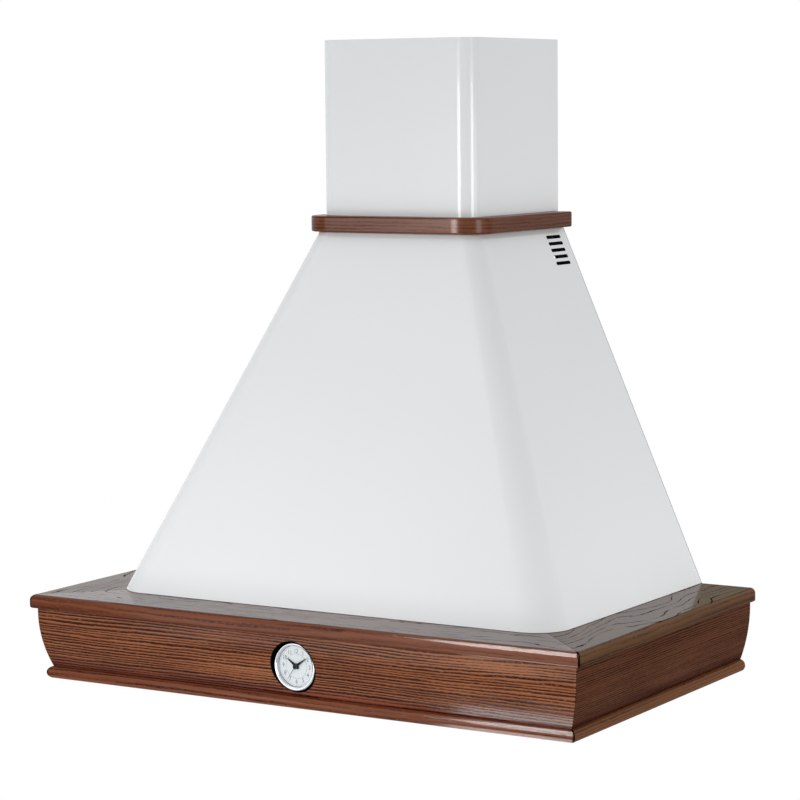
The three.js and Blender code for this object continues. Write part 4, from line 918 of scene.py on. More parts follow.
# %% The wooden mouldings
def front_moulding(profile):
    """Both ends stop at (half width - mitre gap - inset) from the middle."""
    inset, z = profile.T
    end = half_width - mitre_gap - inset
    return closed([np.stack([side * end, front_y + inset, z], -1) for side in (-1, 1)])


def side_moulding(profile, side):
    """It starts at its mitre in front and runs square into the wall."""
    inset, z = profile.T
    x = side * (half_width - inset)
    mitre, wall = front_y + inset + mitre_gap, np.full_like(inset, wall_y)
    return closed([np.stack([x, y, z], -1) for y in (mitre, wall)])


mouldings = {
    "top_board": (board_profile, "front_board_oak", "side_board_oak", "side_board_oak"),
    "fascia": (fascia_profile, "front_oak", "left_side_oak", "side_oak"),
    "bead": (bead_profile, "bead_oak", "side_bead_oak", "side_bead_oak"),
}
for kind, (profile, front, left, right) in mouldings.items():
    for word, surface, finish in (
        ("front", front_moulding(profile), front), ("left", side_moulding(profile, -1), left),
        ("right", side_moulding(profile, 1), right),
    ):
        name = f"{word}_{kind}"
        cuts = [cut_by(bore)] if name == "front_fascia" else []
        place(
            f"{name}_oak", grids_mesh(name, surface), finish, [name],
            modifiers=[*cuts, rounded(0.25)],
        )
bpy.data.objects.remove(bore)
print("mouldings", 3 * len(mouldings))

# %% [markdown]
# ## The collar
#
# The collar is one thick board with rounded front corners and a square hole for the duct. Its rim
# is a small quarter-round above and below. The outline is drawn once for every height of the rim,
# moved in by as much as the quarter-round takes away. A bevel would ease the rim too, but it would
# ease the sawn edges of the hole as well.

# %% The collar
def channel(half, front, radius, back, steps=24):
    """The level outline open at the wall: left end, left corner arc, right corner arc, right end.

    half, front, radius and back are arrays with one value for every row of the surface.
    """
    sizes = np.broadcast_arrays(half, front, radius, back)
    half, front, radius, back = (np.atleast_1d(size)[:, None] for size in sizes)
    angle = np.linspace(0.0, np.pi / 2, steps + 1)[None]
    x = np.concatenate([half - radius + radius * np.sin(angle), half], 1)
    y = np.concatenate([front + radius - radius * np.cos(angle), back], 1)
    return np.concatenate([-x[:, ::-1], x], 1), np.concatenate([y[:, ::-1], y], 1)


def raised(x, y, z):
    """Grid of points whose rows lie at the heights z."""
    return np.stack([x, y, np.broadcast_to(z[:, None], x.shape)], -1)


rim = rounded_line([
    (8.0, collar_low[2], 0), (0.0, collar_low[2], collar_edge),
    (0.0, collar_high[2], collar_edge), (8.0, collar_high[2], 0),
])
inset, z = rim.T
x, y = channel(collar_high[0] - inset, collar_low[1] + inset, collar_radius - inset, wall_y - inset)
edge = raised(np.concatenate([x, x[:, :1]], 1), np.concatenate([y, y[:, :1]], 1), z)
duct_hole = rounded_loop(rectangle(-105, 105, 36, 262, 12))
opening = cutter(
    "collar_cutter", prism(duct_hole, collar_low[2] - 9, collar_high[2] + 9, 2), "softwood_rail"
)
collar_mesh = grids_mesh("collar", [edge.transpose(1, 0, 2), cap(edge[0]), cap(edge[-1])])
place(
    "chimney_collar_oak", collar_mesh, "collar_oak", ["chimney_collar"],
    modifiers=[cut_by(opening)],
)
bpy.data.objects.remove(opening)
print("collar", round(collar_high[2] - collar_low[2], 1), "mm thick")

# %% [markdown]
# ## The vent slots
#
# Warm air leaves through five slots high up at the back of each side wall. A press punches them
# out of the flat sheet before it is bent. Here one cutter made of ten small bars does it at the
# end, because the wall leans and a level bar finds its own way through it.

# %% The vent slots
slot_top_z, slot_pitch, slot_count = 631.5, 9.5, 5
slot_front, slot_back, slot_half_height, slot_radius = 211.0, 254.0, 2.45, 2.0
cut_reach = 7


def canopy_size(key, z):
    """One canopy dimension at a height, on the straight line from bottom to top."""
    levels = [canopy_bottom["z"], canopy_top["z"]]
    return np.interp(z, levels, [canopy_bottom[key], canopy_top[key]])


slot_grids = []
for slot_z in slot_top_z - slot_pitch * np.arange(slot_count):
    wall_x = float(canopy_size("half", slot_z))
    shape = rounded_loop(rectangle(
        slot_front, slot_back, slot_z - slot_half_height, slot_z + slot_half_height, slot_radius
    ), 6)
    for side in (-1, 1):
        slot_grids += prism(shape, side * (wall_x - cut_reach), side * (wall_x + cut_reach), 0)
# The slots' walls take the deepest black: painted shade for the dark inside of the hood.
slots = cutter("slot_cutter", slot_grids, "bore_black")
print("slots", 2 * slot_count, "each", slot_back - slot_front, "mm long")

# %% [markdown]
# ## The canopy
#
# The canopy is one sheet, bent over its two front corners, which are parts of cones because the
# hood narrows upwards. Its foot and its head are folded inwards as flanges. The surface has two
# parameters: the distance along the sheet's own section, from the head flange down the leaning
# wall to the foot flange, and the distance round the outline. A box with sloping faces and a bevel
# would be quicker, but its corners would keep one radius from bottom to top. The sheet gets its
# thickness afterwards, and the slots are cut last.

# %% The canopy
def outward(mesh, centre):
    """Turns an open surface so that its faces look away from a centre."""
    count = len(mesh.polygons)
    middle, normal = np.empty(count * 3), np.empty(count * 3)
    mesh.polygons.foreach_get("center", middle)
    mesh.polygons.foreach_get("normal", normal)
    away = ((middle.reshape(-1, 3) - np.array(centre) * MM) * normal.reshape(-1, 3)).sum()
    if away < 0:
        mesh.flip_normals()
    return mesh


section = rounded_line([
    (15.0, canopy_top["z"], 0), (0.0, canopy_top["z"], 2.0),
    (0.0, canopy_bottom["z"], 0.8), (20.0, canopy_bottom["z"], 0),
], 5)
inset, z = section.T
x, y = channel(
    canopy_size("half", z) - inset, canopy_size("front", z) + inset,
    canopy_size("radius", z) - inset, canopy_wall_y, 32,
)
canopy_mesh = outward(grids_mesh("canopy", [raised(x, y, z)], False), (0, 120, 380))
place(
    "canopy_shell_enamel", canopy_mesh, "enamel", ["canopy_shell"],
    modifiers=[sheet(sheet_thickness), rounded(0.3, 50), cut_by(slots)],
)
bpy.data.objects.remove(slots)
print("corner radius", canopy_bottom["radius"], "mm below and", canopy_top["radius"], "mm above")

# %% [markdown]
# ## The chimney
#
# Outer and inner chimney are folded channels with a lip along the wall. Their section is a line
# with four bends, raised straight up and given the thickness of the sheet. Two boxes, one cut out
# of the other, would leave a wall at the back, where the real channel is open for the duct.

# %% The chimney
def folded_channel(half, front, radius, back, bottom, top):
    """A wall-side channel with lips folded in, as one open surface."""
    line = rounded_line([
        (-half + chimney_lip, back, 0), (-half, back, 2.0), (-half, front, radius),
        (half, front, radius), (half, back, 2.0), (half - chimney_lip, back, 0),
    ], 24)
    rings = [np.insert(line, 2, height, axis=1) for height in (top, bottom)]
    return outward(grids_mesh("channel", [np.stack(rings)], False), (0, 150, (top + bottom) / 2))


def box_in_millimetres(node_name):
    """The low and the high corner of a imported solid."""
    return [np.array(corner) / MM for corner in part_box(node_name)]


for node_name, radius in (
    ("outer_chimney", chimney_radius), ("inner_chimney", chimney_radius - 2.2)
):
    edge_low, edge_high = box_in_millimetres(node_name)
    surface = folded_channel(
        edge_high[0], edge_low[1], radius, edge_high[1], edge_low[2], edge_high[2]
    )
    place(
        f"{node_name}_enamel", surface, "enamel", [node_name],
        modifiers=[sheet(chimney_sheet), rounded(0.25, 50)],
    )
    print(node_name, round(2 * edge_high[0], 1), "mm wide")

# %% [markdown]
# ## The clock
#
# The clock is a quartz insert pushed into a bore of the front board. Its round pieces are turned:
# the bezel, the domed lens, the dial and the black seat ring are profiles swung round the clock's
# axis. Depths are measured back from the front edge of the hood. Only the ring's front edge
# follows the hollow board, so its points are moved back after the turn. Cutting it with the
# board's curve would do the same with far more faces.

# %% The clock
def seat_ring_grid():
    """A ring whose front edge lies 0.05 mm behind the curved face of the board."""
    inner, outer, back = 35.1, 36.7, 23.2
    ring = [(inner, back), (outer, back), (outer, 0.0), (inner, 0.0), (inner, back)]
    grid = turned(ring, clock_axis, "back", 160)
    grid[2:4, :, 1] = front_y + fascia_inset_at(grid[2:4, :, 2]) + 0.05
    return grid


bezel_profile = rounded_loop([
    (34.0, 23.2, 0.2), (34.0, 15.6, 2.4), (31.6, 14.5, 1.6), (29.0, 16.0, 0.5), (29.0, 23.2, 0.2)
], 8)
lens_edge, lens_seat, lens_rise, lens_thickness = 28.7, 16.1, 1.2, 1.0
lens_radius = np.linspace(0.0, lens_edge, 14)
dome = lens_seat - lens_rise * (1 - (lens_radius / lens_edge) ** 2)
lens_profile = np.concatenate([
    np.stack([lens_radius, dome], -1), np.stack([lens_radius, dome + lens_thickness], -1)[::-1]
])
dial_profile = [(2.2, 20.6), (28.7, 20.6), (28.7, 21.2), (2.2, 21.2), (2.2, 20.6)]
clock_pieces = {
    "clock_seat_ring": ("bore_black", seat_ring_grid()),
    "clock_bezel": ("polished_chrome", turned(bezel_profile, clock_axis, "back", 160)),
    "clock_lens": ("clear_glass", turned(lens_profile, clock_axis, "back")),
    "clock_dial": ("clock_white", turned(dial_profile, clock_axis, "back")),
}
for node_name, (finish, grid) in clock_pieces.items():
    place(f"{node_name}_turned", grids_mesh(node_name, [grid]), finish, [node_name])
print("clock lens", round(2 * lens_edge, 1), "mm across")

# %% [markdown]
# ## The hands
#
# Each hand is a tapered blade with a boss and an arbor, set at ten past ten like a clock in a
# shop. The blade is stamped from thin sheet. Its outline is laid flat, turned to its hour and
# given a second layer half a millimetre behind. Turning the object would be simpler, but every
# finished piece stays unturned, so the points themselves are turned.

# %% The hands
hand_thickness = 0.5


def on_dial(points, degrees, depth):
    """Flat (x, up) points, turned clockwise by the angle and set at a depth from the front edge."""
    angle = np.radians(degrees)
    x = points[:, 0] * np.cos(angle) + points[:, 1] * np.sin(angle)
    up = -points[:, 0] * np.sin(angle) + points[:, 1] * np.cos(angle)
    return np.stack([x, np.full_like(x, front_y + depth), clock_z + up], -1)


def hand_outline(length, half, tail):
    """A blade with straight flanks that taper over its outer part."""
    return np.array([
        (-half, -tail), (half, -tail), (half, 0.3 * length), (0.3 * half, length),
        (-0.3 * half, length), (-half, 0.3 * length), (-half, -tail),
    ])


def hand_grids(length, half, front, degrees, boss, boss_front, arbor, arbor_end):
    """Blade, domed boss and arbor of one hand; the arbor ends short of the hand behind it."""
    outline, back = hand_outline(length, half, boss + 1.5), front + hand_thickness
    swell = np.linspace(0.0, np.pi / 2, 7)
    rise = min(1.0, back - boss_front)
    dome_line = np.stack([boss * np.sin(swell), boss_front + rise * (1 - np.cos(swell))], -1)
    boss_profile = np.concatenate([dome_line, [(boss, back), (0.0, back)]])
    arbor_profile = [(0, front), (arbor, front), (arbor, arbor_end), (0, arbor_end)]
    return [
        *closed([on_dial(outline, degrees, depth) for depth in (front, back)]),
        turned(boss_profile, clock_axis, "back", 48),
        turned(arbor_profile, clock_axis, "back", 24),
    ]


# length, half width, front, angle, boss radius, boss front, arbor radius, arbor end
hands = {
    "hour_hand": (17.0, 1.9, 19.4, 304.5, 3.6, 19.4, 1.8, 24.8),
    "minute_hand": (20.0, 1.7, 18.3, 54.0, 3.6, 18.3, 0.95, 19.3),
    "second_hand": (22.5, 0.35, 17.2, 215.0, 4.0, 16.3, 0.3, 18.2),
}
for node_name, sizes in hands.items():
    blade = grids_mesh(node_name, hand_grids(*sizes))
    place(f"{node_name}_blade", blade, "hand_lacquer", [node_name], modifiers=[rounded(0.08)])
print("hands", len(hands))

# %% [markdown]
# ## The print on the dial
#
# The dial carries a thin circle, sixty minute marks and twelve plain numbers. The numbers are
# text, turned into mesh and then set round the dial. A picture on the dial would need only one
# face, but real ink stands a hair above the paper and stays sharp from close by.

# %% The print on the dial
print_depth, ink_thickness = 20.54, 0.04
number_height, number_squeeze, number_radius = 6.0, 0.82, 21.4
mark_inner, mark_outer, hour_mark_half, minute_mark_half = 26.0, 27.6, 0.22, 0.1
circle_inner, circle_outer = 17.0, 17.3


def number_points(text, height):
    """Flat vertices and faces of a number, centred and of a given height in millimetres."""
    curve = bpy.data.curves.new(f"number_{text}", "FONT")
    curve.body = text
    thing = added(f"number_{text}", curve)
    mesh = settled_mesh(thing)
    flat = np.empty(len(mesh.vertices) * 3)
    mesh.vertices.foreach_get("co", flat)
    flat = flat.reshape(-1, 3)[:, :2]
    faces = [tuple(face.vertices) for face in mesh.polygons]
    bpy.data.objects.remove(thing)
    centre = (flat.min(0) + flat.max(0)) / 2
    return (flat - centre) * height / np.ptp(flat[:, 1]), faces


def dial_print():
    """Numbers, minute marks and circle as one thin mesh that lies just above the dial."""
    vertices, faces = [], []

    def lay(points, polygons):
        start = sum(len(block) for block in vertices)
        vertices.append(points)
        faces.extend(tuple(start + corner for corner in face) for face in polygons)

    for hour in range(1, 13):
        points, polygons = number_points(str(hour), number_height)
        angle = math.radians(30 * hour)
        points = points * [number_squeeze, 1.0] + number_radius * np.array(
            [math.sin(angle), math.cos(angle)]
        )
        lay(on_dial(points, 0.0, print_depth), polygons)
    for minute in range(60):
        half = hour_mark_half if minute % 5 == 0 else minute_mark_half
        mark = np.array([
            (-half, mark_inner), (half, mark_inner), (half, mark_outer), (-half, mark_outer)
        ])
        lay(on_dial(mark, 6.0 * minute, print_depth), [(0, 1, 2, 3)])
    circle = [(circle_inner, print_depth), (circle_outer, print_depth)]
    ring = turned(circle, clock_axis, "back", 96)
    lay(ring.reshape(-1, 3), grid_quads(2, 97, 0).tolist())
    mesh = bpy.data.meshes.new("dial_print")
    mesh.from_pydata((np.concatenate(vertices) * MM).tolist(), [], faces)
    return mesh


ink = dial_print()
print("faces of the print", len(ink.polygons))
place("clock_dial_print", ink, "dial_print", body="clock", modifiers=[sheet(ink_thickness, 0.0)])

# %% [markdown]
# ## Expanded metal
#
# A grease filter is layers of expanded aluminium: a sheet slit in rows and pulled until the slits
# open into diamonds. There are thousands of them, each a few millimetres long, so they are drawn
# in the material. Two families of slanted lines cross in the UV map, and where both are dark there
# is a hole.

# %% Expanded metal
diamond_length, diamond_width = 6.4, 3.4


def expanded_metal():
    """Strand = the greater of sin(along + across) and sin(along - across)."""
    tree, shader = new_material("expanded_metal", "aluminium", Metallic=0.9)
    uv = node(tree, "TexCoord").outputs["UV"]
    parts = node(tree, "SeparateXYZ", {"Vector": uv}).outputs
    turn = 2 * math.pi / MM
    along = arithmetic(tree, "MULTIPLY", parts["X"], turn / diamond_length)
    across = arithmetic(tree, "MULTIPLY", parts["Y"], turn / diamond_width)
    one = arithmetic(tree, "SINE", arithmetic(tree, "ADD", along, across))
    two = arithmetic(tree, "SINE", arithmetic(tree, "SUBTRACT", along, across))
    strands = arithmetic(tree, "MAXIMUM", one, two)
    # The holes are painted dark: painted shade for the dim inside of the filter seen through them.
    tone = ramp(tree, strands, [(0.42, 0.05), (0.6, 0.5), (0.85, 0.8)])
    tree.links.new(tone, shader.inputs["Base Color"])
    tree.links.new(ramp(tree, strands, [(0.3, 0.8), (0.7, 0.3)]), shader.inputs["Roughness"])
    bumped(tree, shader, strands, 0.8, 0.0006)


expanded_metal()
print("a diamond is", diamond_length, "by", diamond_width, "mm")

# %% [markdown]
# ## The filters' waves
#
# The layers are folded into waves inside the frame, so that the grease meets metal wherever it
# turns. The wave is a cosine across the depth of the filter. An Array of one wave would also do,
# but a single grid has no seams between the waves.

# %% The filters' waves
wave_count, points_per_wave, strand_thickness = 18, 12, 0.8
for word, side in (("left", -1), ("right", 1)):
    mesh_low, mesh_high = box_in_millimetres(f"{word}_filter_mesh")
    turns = np.linspace(0.0, 1.0, wave_count * points_per_wave + 1)
    y = mesh_low[1] + turns * (mesh_high[1] - mesh_low[1])
    middle_z, rise = (mesh_low[2] + mesh_high[2]) / 2, (mesh_high[2] - mesh_low[2] - 1.0) / 2
    z = middle_z - rise * np.cos(2 * np.pi * wave_count * turns)
    lines = [np.stack([np.full_like(y, x), y, z], -1) for x in (mesh_low[0], mesh_high[0])]
    wave = outward(grids_mesh("wave", [np.stack(lines)], False), (side * 168, 6, 900))
    place(
        f"{word}_filter_waves", wave, "expanded_metal", [f"{word}_filter_mesh"], crease=60,
        modifiers=[sheet(strand_thickness, 0.0)],
    )
    print(word, "filter has", wave_count, "waves,", round(2 * rise, 1), "mm high")

# %% [markdown]
# ## Lamps
#
# Each lamp has a chromed trim ring, a frosted lens that bulges down and a housing of plated
# sheet. They are turned about an upright axis. Fine rings pressed into the lens spread the light.
# They are so shallow that a bump could draw them, but then the lens would look flat from the side.

# %% Lamps
lens_reach, ring_depth, ring_pitch = 23.6, 0.12, 1.6
radius = np.linspace(0.0, lens_reach, 60)
rings = ring_depth * np.cos(2 * np.pi * radius / ring_pitch)
face = 9.15 + 1.3 * (radius / lens_reach) ** 2 + rings * (radius / lens_reach)
lamp_profiles = {
    "trim": ("satin_chrome", 96, rounded_loop([
        (30.0, 18.0, 0.2), (26.3, 18.0, 0.2), (26.3, 10.3, 0.1), (24.4, 10.3, 0.1),
        (24.4, 9.0, 0.5), (32.6, 9.0, 1.2), (34.0, 10.4, 0.8), (34.0, 11.7, 0.2), (30.0, 11.7, 0.1),
    ], 6)),
    "lens": ("frosted_glass", 96, np.concatenate([
        np.stack([radius, face], -1), [(24.0, 10.6), (26.0, 10.6), (26.0, 12.6), (0.0, 12.6)]
    ])),
    "housing": ("zinc_sheet", 64, rounded_loop([
        (31.0, 13.8, 0.2), (36.0, 13.8, 0.2), (36.0, 15.2, 0.2), (32.4, 15.2, 1.0),
        (32.4, 37.8, 3.0), (15.0, 43.8, 2.0), (15.0, 55.8, 1.0), (0.01, 55.8, 0.0),
        (0.01, 53.8, 0.0), (13.5, 53.8, 0.5), (13.5, 42.3, 1.5), (31.0, 36.3, 2.0),
    ], 5)),
}
for word, side in (("left", -1), ("right", 1)):
    for piece, (finish, segments, profile) in lamp_profiles.items():
        grid = turned(profile, (side * 250.0, -195.0, 0.0), "up", segments)
        name = f"{word}_lamp_{piece}"
        place(f"{name}_turned", grids_mesh(piece, [grid]), finish, [name])
print("lamp pieces", 2 * len(lamp_profiles))

# %% [markdown]
# ## The blower wheel
#
# The wheel is a drum of forward-curved blades with a disc across its middle. A blade is a surface
# with two parameters, the way out from the axle and the way along it: the angle grows with the
# square of the way out, so the blade leans more and more into the turn. One blade could be copied
# round the axle with an Array, but forty grids in one mesh need no helper object.

# %% The blower wheel
axle = (0.0, 118.0, 400.0)
wheel_inner, wheel_outer, wheel_half, blade_count, blade_lean = 80.0, 94.8, 72.0, 40, 0.13


def blade_grid(start):
    """radius = inner + s (outer - inner), angle = start + lean s^2, x from end to end."""
    s = np.linspace(0.0, 1.0, 7)
    radius = wheel_inner + s * (wheel_outer - wheel_inner - 0.6)
    angle = start + blade_lean * s**2
    line = np.stack([radius * np.cos(angle), radius * np.sin(angle)], -1)
    rows = [np.insert(line + axle[1:], 0, x, axis=1) for x in (-wheel_half + 1, wheel_half - 1)]
    return np.stack(rows)


starts = np.linspace(0.0, 2 * np.pi, blade_count, endpoint=False)
blades = grids_mesh("blades", [blade_grid(start) for start in starts], False)
place("impeller_blades", blades, "wheel_plastic", ["impeller"], modifiers=[sheet(1.0, 0.0)])
ring_half = 1.25
ring_section = rectangle(82.0, 95.0, -ring_half, ring_half, 0.5)
wheel_grids = [
    turned(rounded_loop([(a, b + x, r) for a, b, r in ring_section], 4), axle, "right")
    for x in (-wheel_half + ring_half, 0.0, wheel_half - ring_half)
]
place("impeller_rings", grids_mesh("rings", wheel_grids), "wheel_plastic", body="impeller")
hub_profile = rounded_loop([
    (4.3, -12.9, 0.3), (12.0, -12.9, 1.5), (12.0, -0.9, 1.0), (28.0, -0.9, 3.0), (32.0, -3.4, 3.0),
    (60.0, -3.4, 3.0), (64.0, -0.9, 3.0), (79.7, -0.9, 0.3), (79.7, 0.9, 0.3), (62.8, 0.9, 3.0),
    (58.8, -1.6, 3.0), (33.2, -1.6, 3.0), (29.2, 0.9, 3.0), (4.3, 0.9, 0.2),
], 4)
hub = grids_mesh("hub", [turned(hub_profile, axle, "right")])
place("impeller_hub_pressed", hub, "zinc_sheet", ["impeller_hub"])
print("blades", blade_count, "rings", len(wheel_grids))

# %% [markdown]
# ## Motor, capacitor, gland and clock case
#
# These are plain turned pieces too, so each is one profile of (radius, distance along the axis,
# corner radius). Cylinders stacked on each other would show a hard step where a pressed can has a
# round shoulder.

# %% Turned fittings
turned_fittings = {
    "motor_body": ("motor_paint", axle, "right", [
        (0, 40, 0), (4.3, 40, 0), (4.3, 10, 0.3), (12, 10, 1), (12, 16, 2), (40, 18, 4),
        (48, 26, 5), (48, 90, 2), (42, 96, 3), (14, 100, 2), (0, 100, 0),
    ]),
    "motor_shaft": ("rolled_aluminium", axle, "right", [
        (0, -18, 0), (4, -18, 0.6), (4, 39.5, 0.6), (0, 39.5, 0),
    ]),
    "capacitor": ("white_plastic", (-103.3, 236.0, 0.0), "up", [
        (0, 385, 0), (16, 385, 1.6), (16, 450, 2.5), (5, 450, 0.4), (5, 456, 0.8), (0, 456, 0),
    ]),
    "clock_case": ("black_plastic", clock_axis, "back", [
        (28.8, 23.5, 0), (30.4, 23.5, 0.3), (30.4, 44, 2.5), (5, 44, 0.3), (5, 42.4, 0.3),
        (28.8, 42.4, 1.5), (28.8, 23.5, 0),
    ]),
    "cable_gland": ("black_plastic", (-110.1, 210.0, 0.0), "up", [
        (4, 535.3, 0), (7, 535.3, 0.3), (7, 545.3, 0.2), (9.5, 545.3, 0.4), (9.5, 551.3, 0.8),
        (7.5, 558.3, 0.8), (4, 558.3, 0.4), (4, 535.3, 0),
    ]),
}
for node_name, (finish, centre, axis, corners) in turned_fittings.items():
    grid = turned(rounded_line(corners, 6), centre, axis)
    place(f"{node_name}_turned", grids_mesh(node_name, [grid]), finish, [node_name])
print("turned fittings", len(turned_fittings))

# %% [markdown]
# ## Pieces that keep their packed form
#
# Boards, brackets, housings and buttons are sawn, folded or moulded to the form that the packed
# solid already has. They could be left as they are, but no real edge is perfectly sharp, so each is
# copied and eased. The width in millimetres follows the piece: sawn wood and thick plastic are
# eased most, thin plates least.

# %% Eased copies
eased = [
    ("softwood_rail", 1.0, ["rear_rail"]),
    ("softwood_block", 1.5, ["left_corner_block", "right_corner_block"]),
    # The back panel's room side is painted near black as painted shade.
    ("ground_coat", 0.25, ["back_panel"]),
    ("inner_enamel", 0.3, ["underside_pan"]),
    ("zinc_sheet", 0.3, ["chimney_bracket", "blower_housing", "motor_bracket", "blower_bracket"]),
    ("rolled_aluminium", 0.3, ["left_filter_frame", "right_filter_frame"]),
    ("black_plastic", 0.4, ["left_filter_latch", "right_filter_latch"]),
    ("black_plastic", 0.3, ["switch_housing", "outlet_spigot"]),
    ("black_plastic", 0.15, ["left_damper_flap", "right_damper_flap"]),
    ("black_plastic", 1.2, ["terminal_box"]),
    ("black_plastic", 0.4, ["clock_movement"]),
    ("black_plastic", 0.3, ["clock_knob"]),
    ("white_plastic", 0.5, [
        "button_off", "button_speed_1", "button_speed_2", "button_speed_3", "button_light"
    ]),
]
for finish, width, node_names in eased:
    for node_name in node_names:
        eased_copy(node_name, finish, width)
print("eased copies", sum(len(node_names) for finish, width, node_names in eased))

# %% [markdown]
# ## The white room
#
# The hood hangs in front of nothing, so the picture has a white ground. A white world as bright as
# that would wash the enamel out, so a Light Path node tells the rays apart: the world is white for
# the camera, for mirrors and for glass, and a plain grey for everything that it lights.

# %% The white room
scene = bpy.context.scene
scene.view_settings.view_transform = "Standard"
grey_for_matt_light = 0.63


def white_to_the_eye(tree, lit_strength):
    """Strength 1 for camera, glossy and transmission rays, and the lit strength for all others."""
    path = node(tree, "LightPath").outputs
    seen = arithmetic(tree, "MAXIMUM", path["Is Camera Ray"], path["Is Glossy Ray"])
    seen = arithmetic(tree, "MAXIMUM", seen, path["Is Transmission Ray"])
    return combine(tree, lit_strength, (1.0 - lit_strength, seen))


world = bpy.data.worlds.new("studio")
scene.world = world
world.use_nodes = True
background = world.node_tree.nodes["Background"]
background.inputs["Color"].default_value = (1.0, 1.0, 1.0, 1.0)
strength = white_to_the_eye(world.node_tree, grey_for_matt_light)
world.node_tree.links.new(strength, background.inputs["Strength"])
print("matt surfaces see the world at", grey_for_matt_light)

# %% [markdown]
# ## The floor
#
# The floor lies well below the hood and keeps its shadow. To the camera it is mostly a white glow,
# so that it runs into the background without a line. Seen from below it is clear, so that the
# underside of the hood can be looked at. Leaving it out would be simpler, but then nothing would
# catch the hood's shadow.

# %% The floor
floor_reach, floor_z, glow_share = 6.0, -0.75, 0.88
floor_mesh = bpy.data.meshes.new("floor")
floor_mesh.from_pydata([
    (-floor_reach, -floor_reach, floor_z), (floor_reach, -floor_reach, floor_z),
    (floor_reach, floor_reach, floor_z), (-floor_reach, floor_reach, floor_z),
], [], [(0, 1, 2, 3)])
floor = added("floor", floor_mesh)
paint = bpy.data.materials.new("pale_floor")
paint.use_nodes = True
paint_tree = paint.node_tree
paint_tree.nodes.clear()


def blended(factor, first, second):
    """A Mix Shader: the first shader where the factor is 0, the second where it is 1."""
    made = node(paint_tree, "MixShader", {"Fac": factor})
    paint_tree.links.new(first, made.inputs[1])
    paint_tree.links.new(second, made.inputs[2])
    return made.outputs["Shader"]


matt = node(paint_tree, "BsdfDiffuse", values={"Color": (0.85, 0.85, 0.85, 1.0)})
glow = node(paint_tree, "Emission", values={"Color": (1.0, 1.0, 1.0, 1.0), "Strength": 1.06})
camera_ray = node(paint_tree, "LightPath").outputs["Is Camera Ray"]
share = arithmetic(paint_tree, "MULTIPLY", camera_ray, glow_share)
upper_side = blended(share, matt.outputs["BSDF"], glow.outputs["Emission"])
backfacing = node(paint_tree, "NewGeometry").outputs["Backfacing"]
clear = node(paint_tree, "BsdfTransparent").outputs["BSDF"]
node(paint_tree, "OutputMaterial", {"Surface": blended(backfacing, upper_side, clear)})
floor_mesh.materials.append(paint)
print("floor", round(1000 * -floor_z), "mm below the hood's foot")

# %% [markdown]
# ## Soft boxes
#
# Three wide panels give the enamel its even fall of light: one low in front, one high at the left
# and one at the side. One sun lamp would be simpler, but it would leave a hard shadow under the
# collar. The power grows with the area, so each panel is stated by its radiance instead.

# %% Soft boxes
def soft_box(name, position, target, width, height, radiance):
    """A rectangular lamp, width level and height upright, with power = pi * area * radiance."""
    lamp = bpy.data.lights.new(name, "AREA")
    lamp.shape = "RECTANGLE"
    lamp.size, lamp.size_y = width, height
    lamp.energy = math.pi * width * height * radiance
    thing = added(name, lamp)
    thing.location = position
    thing.rotation_euler = (Vector(target) - Vector(position)).to_track_quat("-Z", "Y").to_euler()
    thing.visible_camera = False
    return thing


soft_box("low_front_panel", (-0.25, -1.75, 0.0), (0.0, 0.0, 0.3), 2.0, 0.9, 1.9)
soft_box("high_left_panel", (-1.6, -2.6, 3.0), (0.0, 0.0, 0.3), 2.4, 1.4, 0.35)
soft_box("side_panel", (2.6, 0.3, 0.3), (0.0, 0.1, 0.3), 1.6, 1.0, 1.3)
print("soft boxes", len(bpy.data.lights))

# %% [markdown]
# ## Lamps for one piece alone
#
# In a photograph of lacquer and enamel the bright lines come from panels that stand close to one
# part of the object. Each lamp here is linked to a few pieces, and either only mirrors see it, so
# that it draws a line along a nose or a corner, or only matt light comes from it, so that it
# brightens one sheet softly from below. Painting the lines into the finish would be easier, but
# they would stay in place when the hood is turned.

# %% Lamps for one piece alone
def group(name, *endings):
    """A collection of the pieces whose names end in one of the endings."""
    made = bpy.data.collections.new(name)
    for thing in scene.objects:
        if thing.name.endswith(endings):
            made.objects.link(thing)
    return made


def linked_box(name, receiver, position, target, width, height, radiance, soft=False):
    """A panel that reaches one group: in its mirror image alone, or as soft light alone."""
    thing = soft_box(name, position, target, width, height, radiance)
    thing.visible_diffuse = soft
    thing.visible_glossy = not soft
    thing.light_linking.receiver_collection = receiver
    thing.light_linking.blocker_collection = receiver


wood = group("lacquered_wood", "_oak")
collar = group("collar_alone", "chimney_collar_oak")
chimney = group("chimney_alone", "chimney_enamel")
canopy = group("canopy_alone", "canopy_shell_enamel")
nose_target, foot_target = (-0.055, -0.27, 0.12), (0.025, -0.25, 0.04)
linked_box("shine_over", wood, (-0.055, -0.80, 0.62), nose_target, 0.29, 1.2, 32.0)
linked_box("shine_under", wood, (0.025, -0.502, -0.526), foot_target, 0.24, 0.43, 12.0)
linked_box("shine_below", wood, (0.06, -0.08, -0.50), (0.06, -0.08, 0.0), 0.24, 0.50, 4.0)
for receiver, word, line_radiance in ((chimney, "chimney", 5.0), (collar, "collar", 24.0)):
    linked_box(
        f"{word}_left_line", receiver, (-0.57, -2.36, 0.665), (0.11, 0.02, 0.70), 0.95, 0.43,
        1.15 * line_radiance,
    )
    linked_box(
        f"{word}_right_line", receiver, (2.54, -0.58, 0.665), (0.12, 0.03, 0.70), 0.8, 0.43,
        line_radiance,
    )
linked_box("collar_front", collar, (-1.03, -1.73, 0.64), (0.0, 0.0, 0.656), 0.5, 0.3, 14.0)
linked_box("canopy_low_front", canopy, (-0.15, -0.75, 0.0), (0.0, -0.15, 0.2), 1.0, 0.3, 1.25, True)
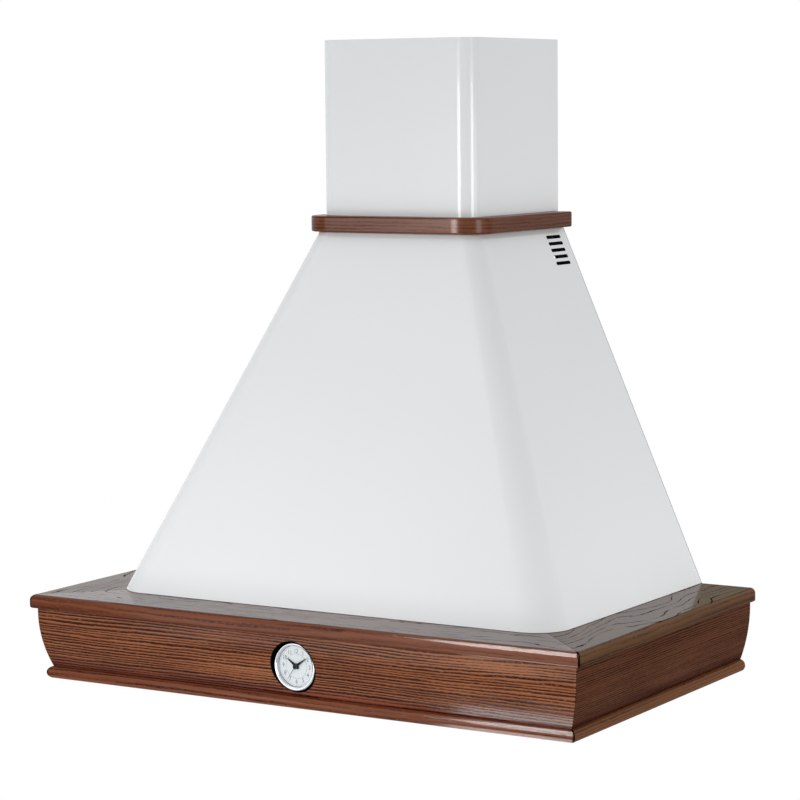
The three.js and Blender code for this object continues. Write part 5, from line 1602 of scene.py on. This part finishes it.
linked_box("canopy_low_side", canopy, (0.85, 0.05, 0.0), (0.35, 0.05, 0.2), 0.8, 0.3, 1.5, True)
linked_box(
    "chimney_low_front", chimney, (-0.1, -0.35, 0.45), (0.0, 0.02, 0.7), 0.4, 0.15, 1.1, True
)
linked_box("chimney_low_side", chimney, (0.6, 0.15, 0.45), (0.13, 0.15, 0.7), 0.3, 0.15, 2.5, True)
print("lamps in all", len(bpy.data.lights))

# %% [markdown]
# ## A dark card
#
# In the photograph the far end of the right board mirrors something darker than the white room.
# Studios put up a black card for this. It is a plain face behind the hood that only mirrors see: a
# darker room would do it too, but then all the lacquer would go dark.

# %% A dark card
card_half, card_y, card_low, card_high = 0.35, 1.05, -0.1, 0.7
card_glow = (0.33, 0.31, 0.24, 1.0)
card_mesh = bpy.data.meshes.new("dark_card")
card_mesh.from_pydata([
    (-card_half, card_y, card_low), (card_half, card_y, card_low), (card_half, card_y, card_high),
    (-card_half, card_y, card_high),
], [], [(0, 1, 2, 3)])
card_paint = bpy.data.materials.new("dark_card")
card_paint.use_nodes = True
card_sockets = card_paint.node_tree.nodes["Principled BSDF"].inputs
card_sockets["Base Color"].default_value = (0.0, 0.0, 0.0, 1.0)
card_sockets["Emission Color"].default_value = card_glow
card_sockets["Emission Strength"].default_value = 1.0
card_mesh.materials.append(card_paint)
card = added("dark_card", card_mesh)
card.visible_camera = card.visible_diffuse = card.visible_shadow = False
print("card", round(card_high - card_low, 2), "m high")

# %% [markdown]
# ## The camera
#
# The camera stands at the photograph's place, four metres off to the right of the middle and
# nearly as high as the chimney, looking slightly down. It could be aimed by eye, but its three
# directions were worked out from the straight edges of the chimney and the frame, which meet in
# the photograph's vanishing points.

# %% The camera
standpoint = (2.08673, -3.39307, 0.82896)
right = (0.85401, 0.52018, -0.00883)
up = (-0.04764, 0.09510, 0.99433)
ahead = (-0.51807, 0.84875, -0.10600)
camera_data = bpy.data.cameras.new("camera")
camera_data.lens = 124.97
camera_data.sensor_width = 36.0
camera = added("camera", camera_data)
turn = np.array([right, up, [-a for a in ahead]]).T
camera.matrix_world = Matrix.Translation(standpoint) @ Matrix(turn.tolist()).to_4x4()
scene.camera = camera
print("camera", round(math.dist(standpoint, (0.0, 0.0, 0.0)), 2), "m from the hood's foot")

# %% [markdown]
# ## The imported size
#
# The dressed hood must stay as large as the imported one, so the imported box is printed.

# %% The imported size
print("packed", [[round(v, 4) for v in c] for c in cad_box])
